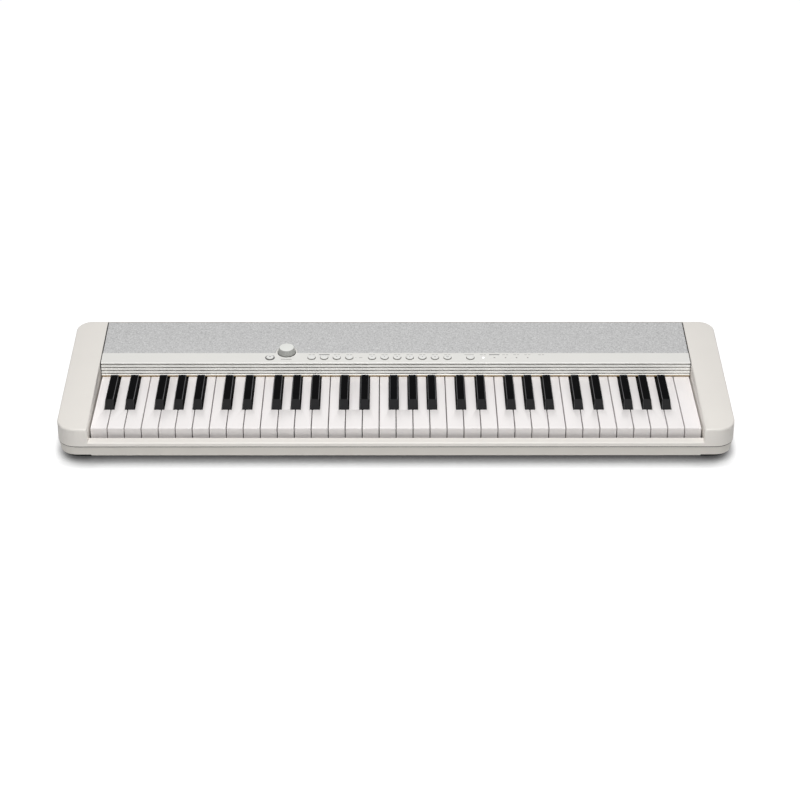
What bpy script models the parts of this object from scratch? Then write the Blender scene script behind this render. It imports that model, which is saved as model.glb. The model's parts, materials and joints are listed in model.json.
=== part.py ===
"""A portable 61-key electronic keyboard, in metres, +Z up.

The origin is on the table under the middle of the keyboard. +X runs along the keys
from bass to treble, and the player sits on the -Y side.
"""

from math import asin, cos, pi, radians, sin, tan

import bmesh
import bpy
from mathutils import Matrix, Vector

# Case
CHEEK_WIDTH = 0.04356
TOP_HEIGHT_AT_FRONT = 0.0482
TOP_SLOPE = radians(4.5)
FRONT_CORNER_RADIUS = 0.028
REAR_CORNER_RADIUS = 0.0225
CASE_WALL = 0.0026
EDGE_RADIUS = 0.0023
PARTING_HEIGHT = 0.0208
PARTING_GAP = 0.0008
UNDERSIDE_HEIGHT = 0.0048
FLOOR_THICKNESS = 0.0024
LOWER_STEP = 0.0008
LOWER_DRAFT = 0.0022
LOWER_CHAMFER = 0.0020
REAR_LIP = 0.0026
DECK_THICKNESS = 0.0024
SEAT_GAP = 0.0003

# Keys
WHITE_KEYS = 36
KEY_PITCH = 0.02333
KEY_GAP = 0.0012
KEYBED_END_GAP = 0.0015
KEY_TOP_HEIGHT = 0.0392
KEY_FACE_HEIGHT = 0.0170
KEY_VISIBLE_LENGTH = 0.1465
KEY_SKIN = 0.0022
KEY_WALL = 0.0018
KEY_EDGE_RADIUS = 0.0007
KEY_DIP = 0.010
HINGE_BEHIND_PANEL = 0.046
KEY_TAIL = 0.0085
HINGE_BLOCK_LENGTH = 0.020
RAIL_HEIGHT = 0.0273
RAIL_DEPTH = 0.0136
RAIL_TO_KEY = 0.0065
BLACK_SETBACK = 0.0523
BLACK_LENGTH = 0.0805
BLACK_RISE = 0.0118
BLACK_BASE_WIDTH = 0.0128
BLACK_TOP_WIDTH = 0.0112
BLACK_FRONT_SLOPE = 0.0077
BLACK_REAR_SLOPE = 0.0016
BLACK_EDGE_RADIUS = 0.0010
BLACK_SIDE_GAP = 0.0008
BLACK_ARM_BELOW_TOP = 0.0030
COMB_RAIL_GAP = 0.0016
COMB_RAIL_DEPTH = 0.0060
COMB_RAIL_HEIGHT = 0.0080
# How far each black key's middle is from the joint of the two white keys beside it
BLACK_SHIFT = {0: -0.0026, 1: 0.0027, 3: -0.0031, 4: 0.0002, 5: 0.0036}
NOTE_NAMES = "cdefgab"
LOWEST_OCTAVE = 2

# Key chassis
CHASSIS_PLATE = 0.0020
STOP_SETBACK = 0.010
STOP_LENGTH = 0.012
BEAM_FRONT = 0.014
BEAM_REAR = 0.010
CHASSIS_END_GAP = 0.009
BEAM_BELOW_KEYS = 0.0025
BEAD_RADIUS = 0.0022

# Control panel, felt and speaker grille
PANEL_DEPTH = 0.0263
GRILLE_DEPTH = 0.0835
PANEL_SKIN = 0.0022
PANEL_END_GAP = 0.0012
FACE_THICKNESS = 0.0052
FACE_BOTTOM_HEIGHT = 0.0414
GROOVES = 4
GROOVE_PITCH = 0.00487
GROOVE_WIDTH = 0.0013
GROOVE_DEPTH = 0.0036
RIDGE_LEAN = 0.0024
FIRST_GROOVE_DROP = 0.0019
PANEL_EDGE_CHAMFER = 0.0007
FELT_DEPTH = 0.0034
FELT_PROUD = 0.0008
GRILLE_THICKNESS = 0.0022
DECK_OVERLAP = 0.0022

# Knob
KNOB_X = -0.1565
KNOB_FROM_PANEL_FACE = 0.0289
KNOB_TOP_RADIUS = 0.0107
KNOB_BASE_RADIUS = 0.0127
KNOB_HEIGHT = 0.0084
KNOB_FILLET = 0.0012
KNOB_SHAFT_RADIUS = 0.0030
KNOB_SHAFT_LENGTH = 0.0100
KNOB_DISH_RADIUS = 0.0142
KNOB_DISH_DEPTH = 0.0009
KNOB_RIM = 0.0013

# Buttons
BUTTON_RADIUS = 0.0056
BUTTON_RISE = 0.0017
BUTTON_FLANGE = 0.0010
BUTTON_FLANGE_THICKNESS = 0.0012
BUTTON_HOLE_GAP = 0.0004
BUTTON_FROM_PANEL_FACE = 0.0140
POWER_BUTTON_X = -0.1799
TONE_BUTTON_X = -0.1204
TONE_BUTTONS = 4
FUNCTION_BUTTON_X = -0.0340
FUNCTION_BUTTONS = 7
BUTTON_PITCH = 0.0180
MODE_BUTTON_X = 0.1067

# Speakers
SPEAKER_X = 0.300
SPEAKER_LENGTH = 0.120
SPEAKER_WIDTH = 0.062
SPEAKER_FLANGE = 0.0020
SPEAKER_RIM = 0.005
SPEAKER_BASKET_DEPTH = 0.0130
MAGNET_RADIUS = 0.0170
MAGNET_DEPTH = 0.0045
CONE_DEPTH = 0.0090

# Battery compartment
BAY_LENGTH = 0.156
BAY_WIDTH = 0.0310
BAY_HEIGHT = 0.0155
BAY_WALL = 0.0018
BAY_FROM_REAR = 0.0030
COVER_MARGIN = 0.0030
COVER_DOVETAIL = 0.0012

# Circuit board and its sockets
BOARD_X = 0.240
BOARD_LENGTH = 0.180
BOARD_WIDTH = 0.0300
BOARD_THICKNESS = 0.0016
BOARD_HEIGHT = 0.0205
BOARD_FROM_REAR = 0.0052
POST_RADIUS = 0.0032
POST_INSET = 0.0060
SOCKET_SIZE = 0.0110
SOCKET_DEPTH = 0.0130
SOCKET_RADIUS = 0.0044
POWER_BORE_RADIUS = 0.0029
POWER_PIN_RADIUS = 0.0010
PHONES_BORE_RADIUS = 0.0018
USB_WIDTH = 0.0084
USB_HEIGHT = 0.0030
USB_SHELL = 0.0011
BORE_DEPTH = 0.0100

# Feet
FOOT_WIDTH = 0.0355
FOOT_LENGTH = 0.031
FOOT_INSET = 0.011
FOOT_TOP_HEIGHT = 0.0070
FOOT_CHAMFER = 0.0008

WELL_HALF = WHITE_KEYS * KEY_PITCH / 2 + KEYBED_END_GAP
WIDTH = 2 * (WELL_HALF + CHEEK_WIDTH)
KEYBED_DEPTH = RAIL_DEPTH + RAIL_TO_KEY + KEY_VISIBLE_LENGTH
DEPTH = KEYBED_DEPTH + PANEL_DEPTH + GRILLE_DEPTH + REAR_LIP
FRONT = -DEPTH / 2
REAR = DEPTH / 2
KEY_FRONT = FRONT + RAIL_DEPTH + RAIL_TO_KEY
KEY_BOTTOM_HEIGHT = KEY_TOP_HEIGHT - KEY_FACE_HEIGHT
BLACK_FRONT = KEY_FRONT + BLACK_SETBACK
PANEL_FACE = KEY_FRONT + KEY_VISIBLE_LENGTH
PANEL_REAR = PANEL_FACE + PANEL_DEPTH
HINGE = Vector((0, PANEL_FACE + HINGE_BEHIND_PANEL, KEY_BOTTOM_HEIGHT))
DIP_ANGLE = asin(KEY_DIP / (HINGE.y - KEY_FRONT))
FLOOR_TOP = UNDERSIDE_HEIGHT + FLOOR_THICKNESS
RECESS_DEPTH = GRILLE_THICKNESS + SEAT_GAP
OCTAVES = WHITE_KEYS // len(NOTE_NAMES)
FAR = 1.0
SLOPE_NORMAL = Vector((0, -sin(TOP_SLOPE), cos(TOP_SLOPE)))
CORNER_STEPS = 8
CASE_CORNER_STEPS = 12

for old in list(bpy.data.objects):
    bpy.data.objects.remove(old)


def new_collection(name):
    made = bpy.data.collections.new(name)
    bpy.context.scene.collection.children.link(made)
    return made


PARTS = new_collection("portable_keyboard")
CUTTERS = new_collection("cutters")


def finish(name, colour, roughness, metallic=0.0):
    """A plain Principled material; colour is linear RGB."""
    made = bpy.data.materials.new(name)
    made.use_nodes = True
    shader = made.node_tree.nodes["Principled BSDF"]
    shader.inputs["Base Color"].default_value = (*colour, 1)
    shader.inputs["Roughness"].default_value = roughness
    shader.inputs["Metallic"].default_value = metallic
    made.diffuse_color = (*colour, 1)
    return made


CASE_PLASTIC = finish("case_plastic", (0.74, 0.73, 0.69), 0.45)
LOWER_PLASTIC = finish("lower_plastic", (0.58, 0.57, 0.53), 0.5)
PANEL_PLASTIC = finish("panel_plastic", (0.76, 0.75, 0.72), 0.3)
WHITE_KEY_PLASTIC = finish("white_key_plastic", (0.84, 0.81, 0.80), 0.3)
BLACK_KEY_PLASTIC = finish("black_key_plastic", (0.012, 0.012, 0.013), 0.4)
GRILLE_FABRIC = finish("grille_fabric", (0.52, 0.52, 0.52), 0.95)
FELT = finish("felt", (0.28, 0.22, 0.14), 1.0)
KNOB_PLASTIC = finish("knob_plastic", (0.74, 0.75, 0.72), 0.35)
CHASSIS_PLASTIC = finish("chassis_plastic", (0.05, 0.05, 0.05), 0.6)
BOARD_LAMINATE = finish("board_laminate", (0.02, 0.12, 0.05), 0.5)
SPEAKER_STEEL = finish("speaker_steel", (0.25, 0.25, 0.26), 0.45, 0.8)
RUBBER = finish("rubber", (0.015, 0.015, 0.015), 0.85)


def arc(centre, radius, start, turn, steps):
    """Points on a round stretch, from angle start over angle turn."""
    angles = [start + turn * i / steps for i in range(steps + 1)]
    return [(centre[0] + radius * cos(a), centre[1] + radius * sin(a)) for a in angles]


def rounded_rectangle(low, high, front_radius, rear_radius, steps):
    (left, front), (right, rear) = low, high
    corners = (
        (left + front_radius, front + front_radius, front_radius, pi),
        (right - front_radius, front + front_radius, front_radius, 1.5 * pi),
        (right - rear_radius, rear - rear_radius, rear_radius, 0),
        (left + rear_radius, rear - rear_radius, rear_radius, 0.5 * pi),
    )
    points = []
    for x, y, radius, start in corners:
        points += arc((x, y), radius, start, pi / 2, steps)
    return points


def case_outline(inset):
    """The case seen from above, every side moved in by inset."""
    low = (-WIDTH / 2 + inset, FRONT + inset)
    high = (WIDTH / 2 - inset, REAR - inset)
    return rounded_rectangle(
        low, high, FRONT_CORNER_RADIUS - inset, REAR_CORNER_RADIUS - inset, CASE_CORNER_STEPS
    )


def stadium(length, width, steps=CORNER_STEPS):
    """A slot shape round the origin, long along X."""
    reach = (length - width) / 2
    points = arc((reach, 0), width / 2, -pi / 2, pi, steps)
    return points + arc((-reach, 0), width / 2, pi / 2, pi, steps)


def box(low, high):
    bm = bmesh.new()
    bmesh.ops.create_cube(bm, size=1)
    low, high = Vector(low), Vector(high)
    place = Matrix.Translation((low + high) / 2) @ Matrix.Diagonal((*(high - low), 1))
    bmesh.ops.transform(bm, matrix=place, verts=bm.verts)
    return bm


def cylinder(x, y, radius, low, high, segments=24):
    """An upright cylinder from height low to height high."""
    bm = bmesh.new()
    bmesh.ops.create_cone(
        bm, cap_ends=True, segments=segments, radius1=radius, radius2=radius, depth=high - low
    )
    bmesh.ops.translate(bm, verts=bm.verts, vec=(x, y, (low + high) / 2))
    return bm


def plate(outline, low, high):
    """The flat outline as a filled curve, thick from height low to height high."""
    curve = bpy.data.curves.new("outline", "CURVE")
    curve.dimensions = "2D"
    curve.fill_mode = "BOTH"
    curve.extrude = (high - low) / 2
    spline = curve.splines.new("POLY")
    spline.points.add(len(outline) - 1)
    for point, (x, y) in zip(spline.points, outline):
        point.co = (x, y, 0, 1)
    spline.use_cyclic_u = True
    holder = bpy.data.objects.new("outline", curve)
    PARTS.objects.link(holder)
    graph = bpy.context.evaluated_depsgraph_get()
    bm = bmesh.new()
    flat = bpy.data.meshes.new_from_object(holder.evaluated_get(graph))
    bm.from_mesh(flat)
    bpy.data.objects.remove(holder)
    bpy.data.curves.remove(curve)
    bpy.data.meshes.remove(flat)
    bmesh.ops.remove_doubles(bm, verts=bm.verts, dist=1e-6)
    bmesh.ops.dissolve_limit(bm, angle_limit=radians(0.5), verts=bm.verts, edges=bm.edges)
    bmesh.ops.recalc_face_normals(bm, faces=bm.faces)
    bmesh.ops.translate(bm, verts=bm.verts, vec=(0, 0, (low + high) / 2))
    return bm


def across(bm):
    """Turns a plate whose outline is (y, z) so that its thickness runs along X."""
    turn = Matrix(((0, 0, 1, 0), (1, 0, 0, 0), (0, 1, 0, 0), (0, 0, 0, 1)))
    bmesh.ops.transform(bm, matrix=turn, verts=bm.verts)
    return bm


def loft(rings):
    """A solid through rings of equally many points, listed from the lowest up."""
    bm = bmesh.new()
    loops = [[bm.verts.new(point) for point in ring] for ring in rings]
    for below, above in zip(loops, loops[1:]):
        for i in range(len(below)):
            bm.faces.new((below[i - 1], below[i], above[i], above[i - 1]))
    bm.faces.new(loops[0])
    bm.faces.new(loops[-1])
    bmesh.ops.recalc_face_normals(bm, faces=bm.faces)
    return bm


def at_height(outline, height):
    return [(x, y, height) for x, y in outline]


def trimmed(bm, point, normal):
    """Keeps what lies behind the plane, and closes the cut."""
    geometry = bm.verts[:] + bm.edges[:] + bm.faces[:]
    bmesh.ops.bisect_plane(
        bm, geom=geometry, plane_co=point, plane_no=normal, clear_outer=True
    )
    bmesh.ops.holes_fill(bm, edges=[edge for edge in bm.edges if edge.is_boundary])
    bmesh.ops.recalc_face_normals(bm, faces=bm.faces)
    return bm


def joined(*shapes):
    """The loose shapes as one mesh, for use as a cutter."""
    bm = shapes[0]
    for other in shapes[1:]:
        mesh = bpy.data.meshes.new("joined")
        other.to_mesh(mesh)
        other.free()
        bm.from_mesh(mesh)
        bpy.data.meshes.remove(mesh)
    return bm


def turned(profile, segments):
    """The (radius, height) profile turned about Z by a Screw modifier."""
    bm = bmesh.new()
    points = [bm.verts.new((radius, 0, height)) for radius, height in profile]
    for a, b in zip(points, points[1:]):
        bm.edges.new((a, b))
    mesh = bpy.data.meshes.new("profile")
    bm.to_mesh(mesh)
    bm.free()
    holder = bpy.data.objects.new("profile", mesh)
    PARTS.objects.link(holder)
    screw = holder.modifiers.new("Turn", "SCREW")
    screw.steps = screw.render_steps = segments
    screw.use_merge_vertices = True
    screw.merge_threshold = 1e-5
    bm = bmesh.new()
    graph = bpy.context.evaluated_depsgraph_get()
    result = bpy.data.meshes.new_from_object(holder.evaluated_get(graph))
    bm.from_mesh(result)
    bpy.data.objects.remove(holder)
    bpy.data.meshes.remove(mesh)
    bpy.data.meshes.remove(result)
    bmesh.ops.remove_doubles(bm, verts=bm.verts, dist=1e-6)
    bmesh.ops.recalc_face_normals(bm, faces=bm.faces)
    return bm


def mesh_object(name, bm, where, collection):
    mesh = bpy.data.meshes.new(name)
    bm.to_mesh(mesh)
    bm.free()
    made = bpy.data.objects.new(name, mesh)
    made.matrix_world = where
    collection.objects.link(made)
    return made


def part(name, bm, material, where=Matrix()):
    made = mesh_object(name, bm, where, PARTS)
    made.data.materials.append(material)
    return made


def combine(target, bm, operation, where=Matrix()):
    """Cuts the shape from the target, or unites them, with a Boolean modifier."""
    tool = mesh_object(f"{target.name}_{operation.lower()}", bm, where, CUTTERS)
    tool.hide_render = True
    tool.display_type = "WIRE"
    modifier = target.modifiers.new(operation.title(), "BOOLEAN")
    modifier.operation = operation
    modifier.object = tool
    return tool


def cut(target, bm, where=Matrix()):
    return combine(target, bm, "DIFFERENCE", where)


def unite(target, bm, where=Matrix()):
    return combine(target, bm, "UNION", where)


def applied(target):
    """Makes the modifiers' result the object's own mesh."""
    graph = bpy.context.evaluated_depsgraph_get()
    result = bpy.data.meshes.new_from_object(target.evaluated_get(graph))
    target.modifiers.clear()
    target.data = result
    return target


def round_edges(target, chosen, radius, segments):
    """Rounds the sharp edges of the mesh that chosen(edge) picks."""
    bm = bmesh.new()
    bm.from_mesh(target.data)
    bmesh.ops.dissolve_limit(bm, angle_limit=radians(0.2), verts=bm.verts, edges=bm.edges)
    sharp = [e for e in bm.edges if len(e.link_faces) == 2 and e.calc_face_angle() > radians(30)]
    bmesh.ops.bevel(
        bm,
        geom=[edge for edge in sharp if chosen(edge)],
        offset=radius,
        segments=segments,
        profile=0.5,
        affect="EDGES",
        clamp_overlap=True,
    )
    bm.to_mesh(target.data)
    bm.free()


def smooth(target):
    target.data.shade_smooth()
    target.data.set_sharp_from_angle(angle=radians(35))
    return target


def top_at(y):
    return TOP_HEIGHT_AT_FRONT + (y - FRONT) * tan(TOP_SLOPE)


def below_top(y, depth):
    """A point at depth below the sloping top, square to it, under place y."""
    return Vector((0, y, top_at(y))) - SLOPE_NORMAL * depth


# The sloping top's own frame: x along the keys, y up the slope from the front, z off it
TOP_FRAME = Matrix.Translation((0, FRONT, TOP_HEIGHT_AT_FRONT)) @ Matrix.Rotation(
    TOP_SLOPE, 4, "X"
)


def up_slope(y):
    """How far up the slope from the front edge place y lies."""
    return (y - FRONT) / cos(TOP_SLOPE)


def on_top(x, distance):
    return TOP_FRAME @ Matrix.Translation((x, distance, 0))


def knob_place():
    return on_top(KNOB_X, up_slope(PANEL_FACE + KNOB_FROM_PANEL_FACE))


def is_flat(edge, axis, value):
    return all(abs(vertex.co[axis] - value) < 1e-5 for vertex in edge.verts)


def under_top(low, high, depth):
    """A box that ends at depth below the sloping top."""
    return trimmed(box(low, high), below_top(FRONT, depth), SLOPE_NORMAL)


def upper_case():
    body = plate(case_outline(0), PARTING_HEIGHT + PARTING_GAP, top_at(REAR) + EDGE_RADIUS)
    trimmed(body, below_top(FRONT, 0), SLOPE_NORMAL)
    case = part("upper_case", body, CASE_PLASTIC)
    deck_front = PANEL_REAR - DECK_OVERLAP
    well = box((-WELL_HALF, FRONT + RAIL_DEPTH, -FAR), (WELL_HALF, deck_front, FAR))
    over_rail = box((-WELL_HALF, -FAR, RAIL_HEIGHT), (WELL_HALF, FRONT + 2 * RAIL_DEPTH, FAR))
    recess = box(
        (-WELL_HALF, up_slope(PANEL_FACE), -RECESS_DEPTH),
        (WELL_HALF, up_slope(REAR - REAR_LIP), FAR),
    )
    cut(case, well)
    cut(case, over_rail)
    cut(case, recess, TOP_FRAME)
    applied(case)

    def shown(edge):
        on_slope = all(
            abs((vertex.co - below_top(FRONT, 0)).dot(SLOPE_NORMAL)) < 1e-5
            for vertex in edge.verts
        )
        behind_lip = all(
            abs(vertex.co.x) < WELL_HALF + 1e-5 and vertex.co.y > REAR_LIP
            for vertex in edge.verts
        )
        rail_edge = is_flat(edge, 2, RAIL_HEIGHT) and is_flat(edge, 1, FRONT)
        cheek_edge = is_flat(edge, 1, FRONT) and any(
            is_flat(edge, 0, side * WELL_HALF) for side in (-1, 1)
        )
        lip_edge = behind_lip and edge.calc_length() > WELL_HALF
        return (on_slope and not lip_edge) or rail_edge or cheek_edge

    round_edges(case, shown, EDGE_RADIUS, 3)

    for side in (-1, 1):
        pocket = plate(case_outline(CASE_WALL), 0, FAR)
        trimmed(pocket, below_top(FRONT, CASE_WALL), SLOPE_NORMAL)
        trimmed(pocket, (side * (WELL_HALF + CASE_WALL), 0, 0), (-side, 0, 0))
        cut(case, pocket)
    inner_rear = REAR - CASE_WALL
    deck_underside = RECESS_DEPTH + DECK_THICKNESS
    cut(
        case,
        under_top(
            (-WELL_HALF, deck_front - DECK_OVERLAP, 0),
            (WELL_HALF, inner_rear, FAR),
            deck_underside,
        ),
    )
    rail_hollow = box(
        (-WELL_HALF, FRONT + CASE_WALL, 0),
        (WELL_HALF, FRONT + RAIL_DEPTH - CASE_WALL, RAIL_HEIGHT - CASE_WALL),
    )
    cut(case, rail_hollow)
    opening = SPEAKER_LENGTH - 2 * SPEAKER_RIM, SPEAKER_WIDTH - 2 * SPEAKER_RIM
    for side in (-1, 1):
        hole = plate(stadium(*opening), -3 * deck_underside, 0)
        cut(case, hole, on_top(side * SPEAKER_X, speaker_distance()))
    shaft_hole = cylinder(0, 0, KNOB_SHAFT_RADIUS + CASE_WALL, -3 * deck_underside, 0)
    cut(case, shaft_hole, knob_place())
    sockets = [
        cylinder(x, 0, SOCKET_RADIUS + SEAT_GAP, 0, 2 * SOCKET_SIZE, 20)
        for x in round_socket_places()
    ]
    turn = Matrix.Translation((0, REAR + SOCKET_SIZE, socket_height())) @ Matrix.Rotation(
        pi / 2, 4, "X"
    )
    cut(case, joined(*sockets), turn)
    cut(case, usb_box(USB_SHELL + SEAT_GAP, REAR - SOCKET_SIZE, REAR + SOCKET_SIZE))
    return smooth(case)


def foot_region(x_side, y_side, grow):
    """Where a corner foot goes, seen from above, wider all round by grow."""
    edge_x, edge_y = x_side * WIDTH / 2, y_side * DEPTH / 2
    inner_x = edge_x - x_side * (FOOT_WIDTH + FOOT_INSET + grow)
    inner_y = edge_y - y_side * (FOOT_LENGTH + FOOT_INSET + grow)
    return inner_x, inner_y


def foot_box(x_side, y_side, grow, low, high):
    """A box from inside the foot's place out past the corner."""
    inner_x, inner_y = foot_region(x_side, y_side, grow)
    xs = sorted((inner_x, x_side * WIDTH))
    ys = sorted((inner_y, y_side * DEPTH))
    return box((xs[0], ys[0], low), (xs[1], ys[1], high))


CORNERS = {
    "foot_front_left": (-1, -1),
    "foot_front_right": (1, -1),
    "foot_rear_left": (-1, 1),
    "foot_rear_right": (1, 1),
}


def lower_case():
    rings = [
        at_height(case_outline(LOWER_STEP + LOWER_DRAFT + LOWER_CHAMFER), UNDERSIDE_HEIGHT),
        at_height(case_outline(LOWER_STEP + LOWER_DRAFT), UNDERSIDE_HEIGHT + LOWER_CHAMFER),
        at_height(case_outline(LOWER_STEP), PARTING_HEIGHT),
    ]
    tray = part("lower_case", loft(rings), LOWER_PLASTIC)
    inside = plate(case_outline(LOWER_STEP + LOWER_DRAFT + CASE_WALL), FLOOR_TOP, FAR)
    hollow = cut(tray, inside)
    notch_top = FOOT_TOP_HEIGHT + SEAT_GAP
    for sides in CORNERS.values():
        cut(hollow, foot_box(*sides, CASE_WALL, 0, notch_top + FLOOR_THICKNESS))
    bay_low, bay_high = bay_box()
    wall = Vector((BAY_WALL, BAY_WALL, BAY_WALL))
    bay_foot = Vector((0, 0, FLOOR_THICKNESS + SEAT_GAP + BAY_WALL))
    unite(tray, box(bay_low - wall + bay_foot, bay_high + wall))
    spread = COVER_MARGIN + COVER_DOVETAIL + 2 * BAY_WALL
    ledge_top = FLOOR_TOP + SEAT_GAP + BAY_WALL
    ledge = box(
        (-bay_high.x - spread, bay_low.y - spread, FLOOR_TOP - FLOOR_THICKNESS / 2),
        (bay_high.x + spread, REAR - LOWER_STEP - LOWER_DRAFT - CASE_WALL / 2, ledge_top),
    )
    unite(tray, ledge)
    post_foot, post_top = FLOOR_TOP - FLOOR_THICKNESS / 2, BOARD_HEIGHT - SEAT_GAP
    posts = [cylinder(x, y, POST_RADIUS, post_foot, post_top, 12) for x, y in post_places()]
    unite(tray, joined(*posts))
    cut(tray, box(bay_low, bay_high))
    cut(tray, cover_shape(SEAT_GAP, UNDERSIDE_HEIGHT - SEAT_GAP, FLOOR_TOP + SEAT_GAP))
    for sides in CORNERS.values():
        cut(tray, foot_box(*sides, SEAT_GAP, 0, notch_top))
    return smooth(tray)


def bay_box():
    """The two far corners of the space for the batteries, down through the floor."""
    rear = REAR - CASE_WALL - LOWER_STEP - LOWER_DRAFT - BAY_FROM_REAR
    low = Vector((-BAY_LENGTH / 2, rear - BAY_WIDTH, UNDERSIDE_HEIGHT))
    return low, Vector((BAY_LENGTH / 2, rear, FLOOR_TOP + BAY_HEIGHT))


def cover_shape(grow, low, high):
    """The battery cover: wider inside than outside, so that its edges hold it."""
    bay_low, bay_high = bay_box()
    half = bay_high.x + COVER_MARGIN + grow
    front = bay_low.y - COVER_MARGIN - grow
    rear = REAR + (FAR if grow else 0)
    rings = []
    for height, spread in ((low, 0), (high, COVER_DOVETAIL)):
        x, y = half + spread, front - spread
        rings.append([(-x, y, height), (x, y, height), (x, rear, height), (-x, rear, height)])
    return loft(rings)


def battery_cover():
    body = cover_shape(0, UNDERSIDE_HEIGHT, FLOOR_TOP)
    setback = LOWER_STEP + LOWER_DRAFT
    trimmed(body, (0, REAR - setback, 0), (0, 1, 0))
    cover = part("battery_cover", body, LOWER_PLASTIC)
    chamfer = LOWER_CHAMFER
    trim_point = (0, REAR - setback - chamfer, UNDERSIDE_HEIGHT)
    bm = bmesh.new()
    bm.from_mesh(cover.data)
    trimmed(bm, trim_point, (0, 1, -1))
    bm.to_mesh(cover.data)
    bm.free()
    return cover


def corner_feet():
    for name, (x_side, y_side) in CORNERS.items():
        inner_x, inner_y = foot_region(x_side, y_side, 0)
        pad = plate(case_outline(FOOT_INSET), 0, FOOT_TOP_HEIGHT)
        trimmed(pad, (inner_x, 0, 0), (-x_side, 0, 0))
        trimmed(pad, (0, inner_y, 0), (0, -y_side, 0))
        foot = part(name, pad, RUBBER)
        round_edges(foot, lambda edge: is_flat(edge, 2, 0), FOOT_CHAMFER, 1)


def note_of(index):
    """The note's place in its octave, and its name with the octave's number."""
    step = index % len(NOTE_NAMES)
    return step, f"{NOTE_NAMES[step]}{LOWEST_OCTAVE + index // len(NOTE_NAMES)}"


def white_key_x(index):
    return (index - (WHITE_KEYS - 1) / 2) * KEY_PITCH


def side_cuts(index):
    """Where the key's narrow rear part begins on its left and ends on its right."""
    step = index % len(NOTE_NAMES)
    half = (KEY_PITCH - KEY_GAP) / 2
    clear = BLACK_BASE_WIDTH / 2 + BLACK_SIDE_GAP
    left, right = -half, half
    if (step - 1) in BLACK_SHIFT:
        left = -KEY_PITCH / 2 + BLACK_SHIFT[step - 1] + clear
    if step in BLACK_SHIFT and index < WHITE_KEYS - 1:
        right = KEY_PITCH / 2 + BLACK_SHIFT[step] - clear
    return left, right


def white_key_outline(cuts, inset, rear):
    """The key from above, its hinge at the origin."""
    half = (KEY_PITCH - KEY_GAP) / 2 - inset
    front = KEY_FRONT - HINGE.y + inset
    notch = BLACK_FRONT - BLACK_SIDE_GAP - HINGE.y - inset
    left, right = cuts[0] + inset, cuts[1] - inset
    points = [(-half, front), (half, front)]
    if right < half - 1e-6:
        points += [(half, notch), (right, notch)]
    points += [(right, rear), (left, rear)]
    if left > -half + 1e-6:
        points += [(left, notch), (-half, notch)]
    return points


def white_keys():
    """Each key is a shell, open below, on a solid hinge block."""
    shapes = {}
    for index in range(WHITE_KEYS):
        step, note = note_of(index)
        cuts = side_cuts(index)
        place = Matrix.Translation((white_key_x(index), HINGE.y, HINGE.z))
        name = f"white_key_{note}"
        if cuts in shapes:
            key = bpy.data.objects.new(name, shapes[cuts])
            key.matrix_world = place
            PARTS.objects.link(key)
            continue
        body = plate(white_key_outline(cuts, 0, KEY_TAIL), 0, KEY_FACE_HEIGHT)
        key = part(name, body, WHITE_KEY_PLASTIC, place)
        round_edges(key, lambda edge: is_flat(edge, 2, KEY_FACE_HEIGHT), KEY_EDGE_RADIUS, 2)
        hollow_rear = KEY_TAIL - HINGE_BLOCK_LENGTH
        hollow = plate(
            white_key_outline(cuts, KEY_WALL, hollow_rear), -KEY_SKIN, KEY_FACE_HEIGHT - KEY_SKIN
        )
        cut(key, hollow, place)
        applied(key)
        smooth(key)
        shapes[cuts] = key.data


def black_key_xs(octave):
    """The middles of the five black keys of an octave."""
    first = octave * len(NOTE_NAMES)
    return [
        white_key_x(first + step) + KEY_PITCH / 2 + shift for step, shift in BLACK_SHIFT.items()
    ]


def black_cap():
    """A black key's raised part about the hinge line, drawn in above the white keys."""
    front = BLACK_FRONT - HINGE.y
    rear = front + BLACK_LENGTH
    low = KEY_FACE_HEIGHT - BLACK_ARM_BELOW_TOP - KEY_SKIN
    high = KEY_FACE_HEIGHT + BLACK_RISE
    half = BLACK_BASE_WIDTH / 2
    cap = box((-half, front, low), (half, rear, high))
    bmesh.ops.bisect_plane(
        cap,
        geom=cap.verts[:] + cap.edges[:] + cap.faces[:],
        plane_co=(0, 0, KEY_FACE_HEIGHT),
        plane_no=(0, 0, 1),
    )
    narrow = BLACK_TOP_WIDTH / BLACK_BASE_WIDTH
    top_front, top_rear = front + BLACK_FRONT_SLOPE, rear - BLACK_REAR_SLOPE
    middle = KEY_FACE_HEIGHT + BLACK_RISE / 2
    for vertex in cap.verts:
        if vertex.co.z > middle:
            vertex.co.x *= narrow
            vertex.co.y = top_front if vertex.co.y < (front + rear) / 2 else top_rear
    shaped = [edge for edge in cap.edges if max(v.co.z for v in edge.verts) > middle]
    bmesh.ops.bevel(
        cap, geom=shaped, offset=BLACK_EDGE_RADIUS, segments=2, profile=0.5, affect="EDGES"
    )
    return cap


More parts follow.
